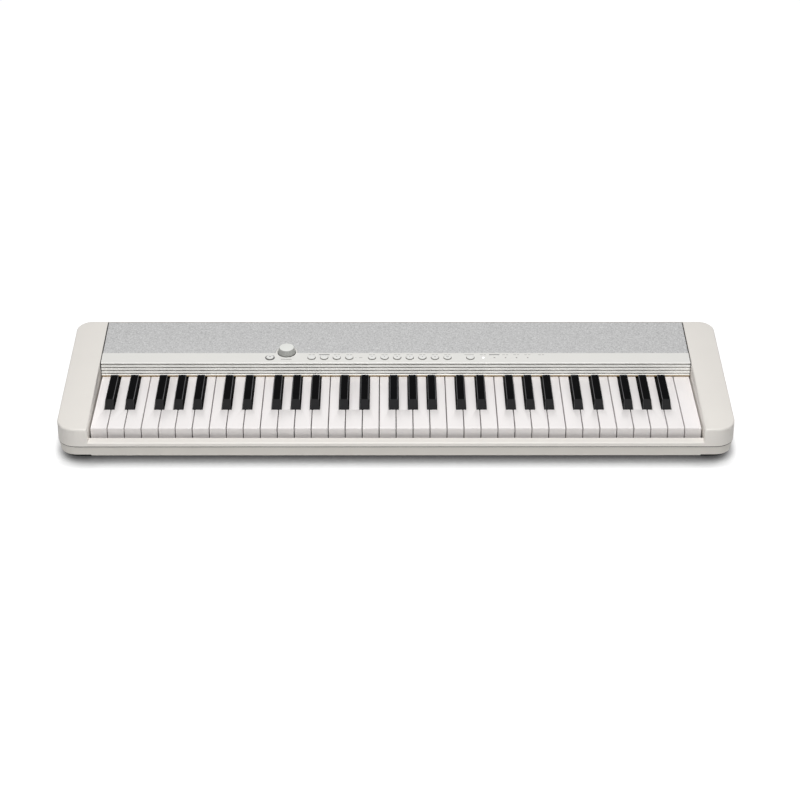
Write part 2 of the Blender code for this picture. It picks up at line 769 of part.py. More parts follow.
def black_key_combs():
    """Five black keys to the octave, moulded in one on a rail behind the hinge line."""
    arm_top = KEY_FACE_HEIGHT - BLACK_ARM_BELOW_TOP
    rail_front = KEY_TAIL + COMB_RAIL_GAP
    rail_rear = rail_front + COMB_RAIL_DEPTH
    half = BLACK_BASE_WIDTH / 2
    front = BLACK_FRONT - HINGE.y
    for octave in range(OCTAVES):
        xs = black_key_xs(octave)
        centre = sum(xs) / len(xs)
        place = Matrix.Translation((centre, HINGE.y, HINGE.z))
        rail = box(
            (xs[0] - half - centre, rail_front, 0),
            (xs[-1] + half - centre, rail_rear, COMB_RAIL_HEIGHT),
        )
        comb = part(f"black_keys_octave_{octave + 1}", rail, BLACK_KEY_PLASTIC, place)
        for x in xs:
            shift = place @ Matrix.Translation((x - centre, 0, 0))
            arm = box((-half, front, 0), (half, rail_rear - COMB_RAIL_DEPTH / 2, arm_top))
            unite(comb, arm, shift)
            unite(comb, black_cap(), shift)
        wells = []
        for x in xs:
            wells.append(
                box(
                    (x - centre - half + KEY_WALL, front + KEY_WALL, -KEY_SKIN),
                    (
                        x - centre + half - KEY_WALL,
                        KEY_TAIL - HINGE_BLOCK_LENGTH,
                        arm_top - KEY_SKIN,
                    ),
                )
            )
        cut(comb, joined(*wells), place)
        smooth(comb)


def key_chassis():
    """The frame under the keys: a front stop, a floor plate and the hinge beam."""
    bottom = FLOOR_TOP + SEAT_GAP
    plate_top = bottom + CHASSIS_PLATE
    stop_front = KEY_FRONT + STOP_SETBACK
    stop_top = KEY_BOTTOM_HEIGHT - (HINGE.y - stop_front) * sin(DIP_ANGLE) - SEAT_GAP
    beam_front, beam_rear = HINGE.y - BEAM_FRONT, HINGE.y + BEAM_REAR
    beam_top = KEY_BOTTOM_HEIGHT - BEAM_BELOW_KEYS
    bead_centre = (HINGE.y, KEY_BOTTOM_HEIGHT - SEAT_GAP - BEAD_RADIUS)
    outline = [
        (stop_front, bottom),
        (beam_rear, bottom),
        (beam_rear, beam_top),
        *arc(bead_centre, BEAD_RADIUS, 0, pi, 6),
        (beam_front, beam_top),
        (beam_front, plate_top),
        (stop_front + STOP_LENGTH, plate_top),
        (stop_front + STOP_LENGTH, stop_top),
        (stop_front, stop_top),
    ]
    half = WELL_HALF - CHASSIS_END_GAP
    return part("key_chassis", across(plate(outline, -half, half)), CHASSIS_PLASTIC)


def panel_outline():
    """The panel's section, (y, z): a sloping top, and a face of leaning ridges and grooves."""
    top_front = top_at(PANEL_FACE)
    inner = PANEL_FACE + FACE_THICKNESS
    skin = PANEL_SKIN / cos(TOP_SLOPE)
    ridge_top = PANEL_FACE + RIDGE_LEAN
    points = [
        (inner, FACE_BOTTOM_HEIGHT),
        (inner, top_at(inner) - skin),
        (PANEL_REAR, top_at(PANEL_REAR) - skin),
        (PANEL_REAR, top_at(PANEL_REAR)),
        (PANEL_FACE + PANEL_EDGE_CHAMFER, top_at(PANEL_FACE + PANEL_EDGE_CHAMFER)),
        (PANEL_FACE, top_front - PANEL_EDGE_CHAMFER),
    ]
    for groove in range(GROOVES):
        middle = top_front - FIRST_GROOVE_DROP - groove * GROOVE_PITCH
        high, low = middle + GROOVE_WIDTH / 2, middle - GROOVE_WIDTH / 2
        points += [
            (PANEL_FACE, high),
            (PANEL_FACE + GROOVE_DEPTH, high),
            (PANEL_FACE + GROOVE_DEPTH, low),
            (ridge_top, low),
        ]
    points.append((PANEL_FACE, FACE_BOTTOM_HEIGHT))
    return points


def button_groups():
    """Each group's name and the places of its buttons along the panel."""
    return {
        "power_button": [POWER_BUTTON_X],
        "tone_buttons": [TONE_BUTTON_X + i * BUTTON_PITCH for i in range(TONE_BUTTONS)],
        "function_buttons": [
            FUNCTION_BUTTON_X + i * BUTTON_PITCH for i in range(FUNCTION_BUTTONS)
        ],
        "mode_button": [MODE_BUTTON_X],
    }


def button_distance():
    return up_slope(PANEL_FACE + BUTTON_FROM_PANEL_FACE)


def control_panel():
    half = WELL_HALF - PANEL_END_GAP
    panel = part("control_panel", across(plate(panel_outline(), -half, half)), PANEL_PLASTIC)
    collar = cylinder(0, 0, KNOB_DISH_RADIUS + KNOB_RIM, -PANEL_SKIN, 0, 32)
    dish = cylinder(0, 0, KNOB_DISH_RADIUS, -KNOB_DISH_DEPTH, FLOOR_THICKNESS, 32)
    shaft = cylinder(0, 0, KNOB_SHAFT_RADIUS + SEAT_GAP, -KNOB_SHAFT_LENGTH, 0, 16)
    unite(panel, collar, knob_place())
    cut(panel, dish, knob_place())
    cut(panel, shaft, knob_place())
    holes = [
        cylinder(x, 0, BUTTON_RADIUS + BUTTON_HOLE_GAP, -2 * PANEL_SKIN, PANEL_SKIN, 20)
        for xs in button_groups().values()
        for x in xs
    ]
    cut(panel, joined(*holes), on_top(0, button_distance()))
    return smooth(panel)


def key_felt():
    """The strip between the panel's lower edge and the keys."""
    half = WELL_HALF - PANEL_END_GAP
    low = (-half, PANEL_FACE - FELT_PROUD, KEY_TOP_HEIGHT + SEAT_GAP)
    high = (half, PANEL_FACE - FELT_PROUD + FELT_DEPTH, FACE_BOTTOM_HEIGHT - SEAT_GAP)
    return part("key_felt", box(low, high), FELT)


def speaker_grille():
    half = WELL_HALF - PANEL_END_GAP
    front = up_slope(PANEL_REAR) + SEAT_GAP
    rear = up_slope(REAR - REAR_LIP) - SEAT_GAP
    sheet = box((-half, front, -GRILLE_THICKNESS), (half, rear, 0))
    grille = part("speaker_grille", sheet, GRILLE_FABRIC, TOP_FRAME)
    round_edges(grille, lambda edge: is_flat(edge, 2, 0), PANEL_EDGE_CHAMFER, 1)
    bite = KNOB_DISH_RADIUS + KNOB_RIM + SEAT_GAP
    hole = cylinder(0, 0, bite, -2 * GRILLE_THICKNESS, GRILLE_THICKNESS, 32)
    cut(grille, hole, knob_place())
    return smooth(grille)


def volume_knob():
    base = SEAT_GAP - KNOB_DISH_DEPTH
    fillet = arc(
        (KNOB_TOP_RADIUS - KNOB_FILLET, KNOB_HEIGHT - KNOB_FILLET), KNOB_FILLET, pi / 2, -pi / 2, 3
    )
    profile = [
        (0, KNOB_HEIGHT),
        *fillet,
        (KNOB_BASE_RADIUS, base + KNOB_FILLET),
        (KNOB_BASE_RADIUS, base),
        (KNOB_SHAFT_RADIUS, base),
        (KNOB_SHAFT_RADIUS, -KNOB_SHAFT_LENGTH),
        (0, -KNOB_SHAFT_LENGTH),
    ]
    knob = part("volume_knob", turned(profile, 32), KNOB_PLASTIC)
    knob.matrix_world = knob_place()
    return smooth(knob)


def button_cap(x):
    """One crowned button with the flange that keeps it under the panel."""
    flange_top = -PANEL_SKIN - SEAT_GAP
    flange_bottom = flange_top - BUTTON_FLANGE_THICKNESS
    profile = [
        (0, BUTTON_RISE),
        (BUTTON_RADIUS * 0.7, BUTTON_RISE * 0.94),
        (BUTTON_RADIUS * 0.93, BUTTON_RISE * 0.72),
        (BUTTON_RADIUS, BUTTON_RISE * 0.3),
        (BUTTON_RADIUS, flange_top),
        (BUTTON_RADIUS + BUTTON_FLANGE, flange_top),
        (BUTTON_RADIUS + BUTTON_FLANGE, flange_bottom),
        (0, flange_bottom),
    ]
    cap = turned(profile, 16)
    bmesh.ops.translate(cap, verts=cap.verts, vec=(x, 0, 0))
    return cap


def buttons():
    """Single buttons, and rows moulded together on one strip."""
    flange_top = -PANEL_SKIN - SEAT_GAP
    flange_bottom = flange_top - BUTTON_FLANGE_THICKNESS
    for name, xs in button_groups().items():
        centre = sum(xs) / len(xs)
        place = on_top(centre, button_distance())
        group = part(name, button_cap(xs[0] - centre), KNOB_PLASTIC, place)
        for x in xs[1:]:
            unite(group, button_cap(x - centre), place)
        if len(xs) > 1:
            strip_half = BUTTON_RADIUS * 0.6
            skin = BUTTON_FLANGE_THICKNESS / 6
            strip = box(
                (xs[0] - centre, -strip_half, flange_bottom + skin),
                (xs[-1] - centre, strip_half, flange_top - skin),
            )
            unite(group, strip, place)
        smooth(group)


def speaker_distance():
    """How far up the slope the middle of the fabric lies."""
    return (up_slope(PANEL_REAR) + up_slope(REAR - REAR_LIP)) / 2 + SPEAKER_RIM / 2


def speakers():
    """An oval driver under each end of the deck: flange, cone, basket and magnet."""
    top = -RECESS_DEPTH - DECK_THICKNESS - SEAT_GAP
    flange_bottom = top - SPEAKER_FLANGE
    basket_bottom = flange_bottom - SPEAKER_BASKET_DEPTH
    outer = stadium(SPEAKER_LENGTH - 2 * SPEAKER_RIM, SPEAKER_WIDTH - 2 * SPEAKER_RIM)
    mouth = stadium(SPEAKER_LENGTH - 3 * SPEAKER_RIM, SPEAKER_WIDTH - 3 * SPEAKER_RIM)
    back = stadium(3 * MAGNET_RADIUS, 2 * MAGNET_RADIUS)
    throat = stadium(2.4 * MAGNET_RADIUS, MAGNET_RADIUS)
    for name, side in (("speaker_left", -1), ("speaker_right", 1)):
        place = on_top(side * SPEAKER_X, speaker_distance())
        flange = plate(stadium(SPEAKER_LENGTH, SPEAKER_WIDTH), flange_bottom, top)
        speaker = part(name, flange, SPEAKER_STEEL, place)
        basket = loft([at_height(back, basket_bottom), at_height(outer, flange_bottom + SEAT_GAP)])
        unite(speaker, basket, place)
        magnet_bottom = basket_bottom - MAGNET_DEPTH
        magnet = cylinder(0, 0, MAGNET_RADIUS, magnet_bottom, basket_bottom + SEAT_GAP)
        unite(speaker, magnet, place)
        cone = loft([at_height(throat, top - CONE_DEPTH), at_height(mouth, top + SEAT_GAP)])
        cut(speaker, cone, place)
        smooth(speaker)


def socket_height():
    return BOARD_HEIGHT + BOARD_THICKNESS + SOCKET_SIZE / 2


def round_socket_places():
    """Where the power inlet and the headphone socket stand along the board."""
    third = BOARD_LENGTH / 3
    return BOARD_X + third, BOARD_X - third


def usb_box(grow, front, rear):
    """The slot of the middle socket, wider all round by grow."""
    half_width, half_height = USB_WIDTH / 2 + grow, USB_HEIGHT / 2 + grow
    low = (BOARD_X - half_width, front, socket_height() - half_height)
    return box(low, (BOARD_X + half_width, rear, socket_height() + half_height))


def post_places():
    """The posts that the circuit board stands on."""
    rear = REAR - CASE_WALL - LOWER_STEP - BOARD_FROM_REAR
    ys = (rear - POST_INSET, rear - BOARD_WIDTH + POST_INSET)
    reach = BOARD_LENGTH / 2 - POST_INSET
    return [(BOARD_X + side * reach, y) for side in (-1, 1) for y in ys]


def main_board():
    rear = REAR - CASE_WALL - LOWER_STEP - BOARD_FROM_REAR
    half = BOARD_LENGTH / 2
    board_top = BOARD_HEIGHT + BOARD_THICKNESS
    board = part(
        "main_board",
        box(
            (BOARD_X - half, rear - BOARD_WIDTH, BOARD_HEIGHT), (BOARD_X + half, rear, board_top)
        ),
        BOARD_LAMINATE,
    )
    wall_inside = REAR - CASE_WALL - SEAT_GAP
    mouth = REAR - SEAT_GAP
    middle = socket_height()
    power_x, phones_x = round_socket_places()
    for x in (power_x, BOARD_X, phones_x):
        housing = box(
            (x - SOCKET_SIZE / 2, wall_inside - SOCKET_DEPTH, board_top - BOARD_THICKNESS / 2),
            (x + SOCKET_SIZE / 2, wall_inside, board_top + SOCKET_SIZE),
        )
        unite(board, housing)
    turn = Matrix.Translation((0, mouth, middle)) @ Matrix.Rotation(-pi / 2, 4, "X")
    for x in (power_x, phones_x):
        unite(board, cylinder(x, 0, SOCKET_RADIUS, -SOCKET_DEPTH / 2, 0, 20), turn)
    unite(board, usb_box(USB_SHELL, mouth - SOCKET_DEPTH / 2, mouth))
    cut(board, usb_box(0, mouth - BORE_DEPTH, REAR + BORE_DEPTH))
    cut(board, cylinder(phones_x, 0, PHONES_BORE_RADIUS, -BORE_DEPTH, BORE_DEPTH, 12), turn)
    cut(board, cylinder(power_x, 0, POWER_BORE_RADIUS, -BORE_DEPTH, BORE_DEPTH, 16), turn)
    unite(board, cylinder(power_x, 0, POWER_PIN_RADIUS, -SOCKET_DEPTH, -POWER_PIN_RADIUS, 8), turn)
    return smooth(board)


def main():
    upper_case()
    lower_case()
    battery_cover()
    corner_feet()
    key_chassis()
    white_keys()
    black_key_combs()
    control_panel()
    key_felt()
    speaker_grille()
    volume_knob()
    buttons()
    speakers()
    main_board()


main()
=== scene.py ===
"""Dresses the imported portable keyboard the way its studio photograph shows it.

Lengths are in metres unless a name ends in _mm. +X runs along the keys from bass to
treble, the player sits on the -Y side, and the table is at Z = 0.
"""

import json
import logging
import math
from dataclasses import dataclass, field
from enum import Enum
from typing import Any, Iterable, Protocol

import bmesh
import bpy
from mathutils import Matrix, Vector

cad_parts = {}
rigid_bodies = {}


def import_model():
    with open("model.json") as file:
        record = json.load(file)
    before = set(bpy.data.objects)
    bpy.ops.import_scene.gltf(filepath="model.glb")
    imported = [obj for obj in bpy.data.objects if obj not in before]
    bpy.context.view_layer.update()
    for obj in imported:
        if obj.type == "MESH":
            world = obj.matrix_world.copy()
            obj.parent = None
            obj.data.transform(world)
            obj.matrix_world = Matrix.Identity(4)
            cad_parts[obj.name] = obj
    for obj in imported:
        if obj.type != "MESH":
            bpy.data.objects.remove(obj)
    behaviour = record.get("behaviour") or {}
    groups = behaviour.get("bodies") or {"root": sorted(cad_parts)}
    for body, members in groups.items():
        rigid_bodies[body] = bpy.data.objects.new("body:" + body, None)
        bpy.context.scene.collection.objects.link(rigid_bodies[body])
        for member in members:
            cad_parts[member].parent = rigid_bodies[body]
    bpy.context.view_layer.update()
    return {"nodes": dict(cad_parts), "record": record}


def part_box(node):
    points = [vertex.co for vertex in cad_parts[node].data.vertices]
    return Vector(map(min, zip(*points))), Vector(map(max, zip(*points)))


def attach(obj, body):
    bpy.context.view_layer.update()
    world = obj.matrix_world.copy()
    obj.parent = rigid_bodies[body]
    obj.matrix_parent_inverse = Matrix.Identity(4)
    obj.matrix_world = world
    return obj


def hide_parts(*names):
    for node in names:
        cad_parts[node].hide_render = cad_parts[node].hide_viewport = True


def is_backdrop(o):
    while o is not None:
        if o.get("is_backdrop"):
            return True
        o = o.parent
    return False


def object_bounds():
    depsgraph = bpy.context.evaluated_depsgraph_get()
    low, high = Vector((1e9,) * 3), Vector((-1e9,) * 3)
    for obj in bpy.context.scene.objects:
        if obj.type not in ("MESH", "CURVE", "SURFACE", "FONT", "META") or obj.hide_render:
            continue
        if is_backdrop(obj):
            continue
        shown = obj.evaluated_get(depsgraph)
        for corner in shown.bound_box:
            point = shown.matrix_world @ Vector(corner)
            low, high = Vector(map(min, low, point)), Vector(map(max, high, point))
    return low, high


LOG = logging.getLogger("portable_keyboard")

MM = 0.001
WELD_DISTANCE = 1e-6
FLAT_ANGLE = math.radians(0.2)
SMOOTH_ANGLE = math.radians(32)
EASED_EDGE = 0.2 * MM
# Ink stands this far off what it is printed on, so that no two faces lie in one plane.
INK_LIFT = 0.01 * MM
# On a rounded edge, X times Z of the surface's direction: where the painted edge highlight starts
# and is full.
EDGE_SHARE_SPAN = (0.28, 0.46)
# How much more squarely a stretch faces its way by the time its painted light is whole, and the
# most asked.
TURN_SPAN = 0.5
FULLY_TURNED = 0.95
# How many bands a wave node draws over the length that its scale stands for.
WAVE_BANDS = 20

Colour = tuple[float, float, float, float]


def linear(hex_colour: str) -> Colour:
    """Turns an sRGB hex colour into the linear RGBA that a shader takes.

    Args:
        hex_colour: six hex digits after a hash, such as "#E4E0DB".

    Returns:
        The linear red, green and blue, and an alpha of 1.
    """
    channels = [int(hex_colour[i : i + 2], 16) / 255 for i in (1, 3, 5)]
    red, green, blue = (
        c / 12.92 if c <= 0.04045 else ((c + 0.055) / 1.055) ** 2.4 for c in channels
    )
    return red, green, blue, 1.0


def add_node(
    tree: bpy.types.NodeTree,
    kind: str,
    settings: dict[str | int, Any] | None = None,
    links: dict[str | int, bpy.types.NodeSocket] | None = None,
) -> bpy.types.Node:
    """Adds one node.

    Args:
        tree: the node tree that gets it.
        kind: the node's type, such as "ShaderNodeTexNoise".
        settings: properties of the node, or default values of its inputs.
        links: the outputs that feed its inputs.

    Returns:
        The new node.
    """
    node = tree.nodes.new(kind)
    for name, value in (settings or {}).items():
        if isinstance(name, str) and hasattr(node, name):
            setattr(node, name, value)
        else:
            node.inputs[name].default_value = value
    for name, source in (links or {}).items():
        tree.links.new(source, node.inputs[name])
    return node


def new_material(
    name: str, settings: dict[str | int, Any]
) -> tuple[bpy.types.Material, bpy.types.NodeTree, bpy.types.Node]:
    """Makes a material with one Principled shader.

    Args:
        name: the material's name.
        settings: values for the shader's own sockets.

    Returns:
        The material, its node tree and its shader.
    """
    material = bpy.data.materials.new(name)
    material.use_nodes = True
    tree = material.node_tree
    shader = tree.nodes["Principled BSDF"]
    for socket, value in settings.items():
        shader.inputs[socket].default_value = value
    return material, tree, shader


class Finish(Protocol):
    """What every finish can do."""

    name: str

    def material(self) -> bpy.types.Material:
        """Returns the finish as a Blender material."""


@dataclass(frozen=True)
class MouldedPlastic:
    """Injection-moulded plastic with the fine grain of an etched mould.

    Args:
        name: plastic and surface, as a moulder would say it.
        colour: sRGB hex of the plastic.
        drift: sRGB hex that the colour drifts towards in soft clouds.
        roughness: of the shiniest stretches.
        grain_mm: distance between two bumps of the etching.
        grain_depth_mm: height of the bumps.
        gloss_drift: how much rougher the dullest stretches are.
        ior: index of refraction.
        cloud_mm: size of the soft clouds.
        specular: how strongly the bare surface mirrors, 0.5 for a plain dielectric.
        lit_facing_colour: sRGB hex of the stretches that face one way, if they differ: painted
            light and shade by facing.
        towards: the way that those stretches face.
        turned_from: how squarely a stretch must face that way before it starts to differ.
        edge_highlight_colour: sRGB hex of a painted highlight on the rounded edges along the sides,
            if any.
    """

    name: str
    colour: str
    drift: str
    roughness: float
    grain_mm: float
    grain_depth_mm: float
    gloss_drift: float = 0.06
    ior: float = 1.54
    cloud_mm: float = 45.0
    specular: float = 0.5
    lit_facing_colour: str = ""
    towards: tuple[float, float, float] = (0.0, -1.0, 0.0)
    turned_from: float = 0.15
    edge_highlight_colour: str = ""

    def painted_edge_highlight(
        self, tree: bpy.types.NodeTree, colour: bpy.types.NodeSocket
    ) -> bpy.types.NodeSocket:
        """Paints a highlight on the rounded edges between the top and the sides.

        Args:
            tree: the material's node tree.
            colour: the colour of every other stretch.

        Returns:
            The colour of the whole surface.
        """
        normal = add_node(tree, "ShaderNodeNewGeometry").outputs["Normal"]
        parts = add_node(tree, "ShaderNodeSeparateXYZ", links={"Vector": normal})
        slant = add_node(
            tree,
            "ShaderNodeMath",
            {"operation": "MULTIPLY"},
            {0: parts.outputs["X"], 1: parts.outputs["Z"]},
        )
        size = add_node(
            tree, "ShaderNodeMath", {"operation": "ABSOLUTE"}, {0: slant.outputs["Value"]}
        )
        share = add_node(
            tree,
            "ShaderNodeMapRange",
            {"From Min": EDGE_SHARE_SPAN[0], "From Max": EDGE_SHARE_SPAN[1]},
            {"Value": size.outputs["Value"]},
        )
        both = add_node(
            tree,
            "ShaderNodeMix",
            {"data_type": "RGBA", 7: linear(self.edge_highlight_colour)},
            {"Factor": share.outputs["Result"], 6: colour},
        )
        return both.outputs[2]

    def painted_light_by_facing(
        self, tree: bpy.types.NodeTree, colour: bpy.types.NodeSocket
    ) -> bpy.types.NodeSocket:
        """Paints the lighter colour where the surface faces the named way: painted light and shade
        by facing.

        Args:
            tree: the material's node tree.
            colour: the colour of every other stretch.

        Returns:
            The colour of the whole surface.
        """
        normal = add_node(tree, "ShaderNodeNewGeometry").outputs["Normal"]
        squareness = add_node(
            tree, "ShaderNodeVectorMath", {"operation": "DOT_PRODUCT", 1: self.towards}, {0: normal}
        )
        wholly = min(self.turned_from + TURN_SPAN, FULLY_TURNED)
        share = add_node(
            tree,
            "ShaderNodeMapRange",
            {"From Min": self.turned_from, "From Max": wholly},
            {"Value": squareness.outputs["Value"]},
        )
        both = add_node(
            tree,
            "ShaderNodeMix",
            {"data_type": "RGBA", 7: linear(self.lit_facing_colour)},
            {"Factor": share.outputs["Result"], 6: colour},
        )
        return both.outputs[2]

    def material(self) -> bpy.types.Material:
        """Makes the plastic as a Blender material.

        Returns:
            The material.
        """
        settings = {"IOR": self.ior, "Specular IOR Level": self.specular}
        material, tree, shader = new_material(self.name, settings)
        place = add_node(tree, "ShaderNodeTexCoord").outputs["Object"]
        clouds = add_node(
            tree,
            "ShaderNodeTexNoise",
            {"Scale": 1 / (self.cloud_mm * MM), "Detail": 3.0},
            {"Vector": place},
        )
        tint = add_node(
            tree,
            "ShaderNodeMix",
            {"data_type": "RGBA", 6: linear(self.colour), 7: linear(self.drift)},
            {"Factor": clouds.outputs["Fac"]},
        )
        # Painted light and shade by facing, and a painted highlight on rounded edges, where the
        # finish asks for them.
        colour = self.painted_light_by_facing(tree, tint.outputs[2]) if self.lit_facing_colour else tint.outputs[2]
        colour = self.painted_edge_highlight(tree, colour) if self.edge_highlight_colour else colour
        tree.links.new(colour, shader.inputs["Base Color"])
        handled = add_node(
            tree,
            "ShaderNodeTexNoise",
            {"Scale": 3 / (self.cloud_mm * MM), "Detail": 5.0, "Roughness": 0.65},
            {"Vector": place},
        )
        dullness = add_node(
            tree,
            "ShaderNodeMapRange",
            {"To Min": self.roughness, "To Max": self.roughness + self.gloss_drift},
            {"Value": handled.outputs["Fac"]},
        )
        tree.links.new(dullness.outputs["Result"], shader.inputs["Roughness"])
        grain = add_node(
            tree,
            "ShaderNodeTexNoise",
            {"Scale": 1 / (self.grain_mm * MM), "Detail": 2.0},
            {"Vector": place},
        )
        bump = add_node(
            tree,
            "ShaderNodeBump",
            {"Distance": self.grain_depth_mm * MM, "Strength": 1.0},
            {"Height": grain.outputs["Fac"]},
        )
        tree.links.new(bump.outputs["Normal"], shader.inputs["Normal"])
        return material


@dataclass(frozen=True)
class WovenCloth:
    """Speaker cloth of mixed pale and grey yarn, in a plain weave.

    Args:
        name: the cloth's name.
        pale: sRGB hex of the palest yarn.
        dark: sRGB hex of the darkest yarn.
        yarn_mm: distance from one yarn to the next.
        slub_mm: length of the thicker stretches of yarn.
        depth_mm: height of a yarn over the gaps.
    """

    name: str
    pale: str
    dark: str
    yarn_mm: float
    slub_mm: float
    depth_mm: float

    def flecks(
        self, tree: bpy.types.NodeTree, place: bpy.types.NodeSocket, along: int
    ) -> bpy.types.NodeSocket:
        """Scatters short stretches of other yarn along one direction of the weave.

        Args:
            tree: the material's node tree.
            place: the position on the cloth.
            along: 0 for yarns along X, 1 for yarns along Y.

        Returns:
            A value about 0.5, lower on dark stretches and higher on pale ones.
        """
        spacing = [1 / (self.yarn_mm * MM)] * 3
        spacing[along] = 1 / (self.slub_mm * MM)
        stretched = add_node(
            tree, "ShaderNodeVectorMath", {"operation": "MULTIPLY", 1: spacing}, {0: place}
        )
        noise = add_node(
            tree,
            "ShaderNodeTexNoise",
            {"Scale": 1.0, "Detail": 2.0, "Roughness": 0.6},
            {"Vector": stretched.outputs["Vector"]},
        )
        crisp = add_node(
            tree,
            "ShaderNodeMapRange",
            {"From Min": 0.34, "From Max": 0.66},
            {"Value": noise.outputs["Fac"]},
        )
        return crisp.outputs["Result"]

    def material(self) -> bpy.types.Material:
        """Makes the cloth as a Blender material.

        Returns:
            The material.
        """
        settings = {"Roughness": 0.92, "Sheen Weight": 0.1, "Sheen Roughness": 0.5, "IOR": 1.46}
        material, tree, shader = new_material(self.name, settings)
        place = add_node(tree, "ShaderNodeTexCoord").outputs["Object"]
        warp, weft = (self.flecks(tree, place, along) for along in (1, 0))
        mixed = add_node(
            tree, "ShaderNodeMix", {"data_type": "FLOAT", "Factor": 0.5}, {2: warp, 3: weft}
        )
        tint = add_node(
            tree,
            "ShaderNodeMix",
            {"data_type": "RGBA", 6: linear(self.dark), 7: linear(self.pale)},
            {"Factor": mixed.outputs[0]},
        )
        tree.links.new(tint.outputs[2], shader.inputs["Base Color"])
        scale = 1 / (self.yarn_mm * MM) / WAVE_BANDS
        waves = [
            add_node(
                tree,
                "ShaderNodeTexWave",
                {"Scale": scale, "bands_direction": way, "Distortion": 0.6},
                {"Vector": place},
            )
            for way in ("X", "Y")
        ]
        weave = add_node(
            tree,
            "ShaderNodeMath",
            {"operation": "MAXIMUM"},
            {0: waves[0].outputs["Fac"], 1: waves[1].outputs["Fac"]},
        )
        bump = add_node(
            tree,
            "ShaderNodeBump",
            {"Distance": self.depth_mm * MM, "Strength": 1.0},
            {"Height": weave.outputs["Value"]},
        )
        tree.links.new(bump.outputs["Normal"], shader.inputs["Normal"])
        return material


@dataclass(frozen=True)
class PressedFelt:
    """Wool felt, pressed and cut to a strip: matted fibres with a soft sheen.

    Args:
        name: the felt's name.
        colour: sRGB hex of the wool.
        shade: sRGB hex of its deeper fibres.
        fibre_mm: size of the matted tufts.
        tuft_mm: height of the tufts.
    """

    name: str
    colour: str
    shade: str
    fibre_mm: float
    tuft_mm: float = 0.3

    def material(self) -> bpy.types.Material:
        """Makes the felt as a Blender material.

        Returns:
            The material.
        """
        settings = {"Roughness": 1.0, "Sheen Weight": 0.4, "Sheen Roughness": 0.6, "IOR": 1.5}
        material, tree, shader = new_material(self.name, settings)
        place = add_node(tree, "ShaderNodeTexCoord").outputs["Object"]
        scale = 1 / (self.fibre_mm * MM)
        fibres = add_node(
            tree,
            "ShaderNodeTexNoise",
            {"Scale": scale, "Detail": 8.0, "Roughness": 0.75, "Distortion": 1.5},
            {"Vector": place},
        )
        tint = add_node(
            tree,
            "ShaderNodeMix",
            {"data_type": "RGBA", 6: linear(self.shade), 7: linear(self.colour)},
            {"Factor": fibres.outputs["Fac"]},
        )
        tree.links.new(tint.outputs[2], shader.inputs["Base Color"])
        bump = add_node(
            tree,
            "ShaderNodeBump",
            {"Distance": self.tuft_mm * MM, "Strength": 0.8},
            {"Height": fibres.outputs["Fac"]},
        )
        tree.links.new(bump.outputs["Normal"], shader.inputs["Normal"])
        return material


@dataclass(frozen=True)
class Metal:
    """Plated or bare metal with the faint streaks that drawing or turning leaves.

    Args:
        name: the metal and its surface.
        colour: sRGB hex of its reflection.
        roughness: of the cleanest stretches.
        streak_mm: width of the streaks.
        gloss_drift: how much rougher the dullest stretches are.
    """

    name: str
    colour: str
    roughness: float
    streak_mm: float
    gloss_drift: float = 0.2

    def material(self) -> bpy.types.Material:
        """Makes the metal as a Blender material.

        Returns:
            The material.
        """
        settings = {"Base Color": linear(self.colour), "Metallic": 1.0}
        material, tree, shader = new_material(self.name, settings)
        place = add_node(tree, "ShaderNodeTexCoord").outputs["Object"]
        streaks = add_node(
            tree,
            "ShaderNodeTexNoise",
            {"Scale": 1 / (self.streak_mm * MM), "Detail": 4.0},
            {"Vector": place},
        )
        dullness = add_node(
            tree,
            "ShaderNodeMapRange",
            {"To Min": self.roughness, "To Max": self.roughness + self.gloss_drift},
            {"Value": streaks.outputs["Fac"]},
        )
        tree.links.new(dullness.outputs["Result"], shader.inputs["Roughness"])
        return material


@dataclass(frozen=True)
class Lamp:
    """A small moulded lens over a light-emitting diode.

    Args:
        name: the lens and its state.
        colour: sRGB hex of the lens.
        strength: how brightly it glows.
    """

    name: str
    colour: str
    strength: float

    def material(self) -> bpy.types.Material:
        """Makes the lens as a Blender material.

        Returns:
            The material.
        """
        settings = {
            "Base Color": linear(self.colour),
            "Roughness": 0.25,
            "IOR": 1.49,
            "Emission Color": linear(self.colour),
            "Emission Strength": self.strength,
        }
        return new_material(self.name, settings)[0]


# ABS from a finely etched mould: warm white, with a soft broad sheen and no mirror gloss.
CASE_ABS = MouldedPlastic(
    "abs_moulded_warm_white", "#E6E2DC", "#E2DED8", 0.42, grain_mm=0.9, grain_depth_mm=0.012
)
# The same ABS for the lower half, a shade greyer, and rougher from a coarser etching.
LOWER_ABS = MouldedPlastic(
    "abs_moulded_lower_case", "#DEDAD3", "#D8D4CD", 0.5, grain_mm=1.1, grain_depth_mm=0.02
)
# ABS with a satin surface: the strip looks a little smoother than the case. Its grooved front is
# painted a little paler: painted light, from the keys shining up at it.
PANEL_ABS = MouldedPlastic(
    "abs_moulded_satin_panel",
    "#E5E4E0",
    "#E1E0DC",
    0.34,
    grain_mm=0.7,
    grain_depth_mm=0.006,
    lit_facing_colour="#F6F5F1",
)
# Resin with a satin polish: cool white keys with a faint soft reflection.
WHITE_KEY_RESIN = MouldedPlastic(
    "key_resin_polished_white",
    "#F5F1F0",
    "#F2EEED",
    0.3,
    grain_mm=3.0,
    grain_depth_mm=0.002,
    gloss_drift=0.03,
    specular=0.3,
)
# Black ABS from a matt mould, so that fingers grip: deep black on top. The front slope is painted
# lighter grey as painted light, and a thin pale line along the rounded edges is a painted
# highlight.
BLACK_KEY_ABS = MouldedPlastic(
    "abs_moulded_matt_black",
    "#141415",
    "#101011",
    0.42,
    grain_mm=0.6,
    grain_depth_mm=0.008,
    specular=0.001,
    lit_facing_colour="#2E2E2F",
    edge_highlight_colour="#717173",
)
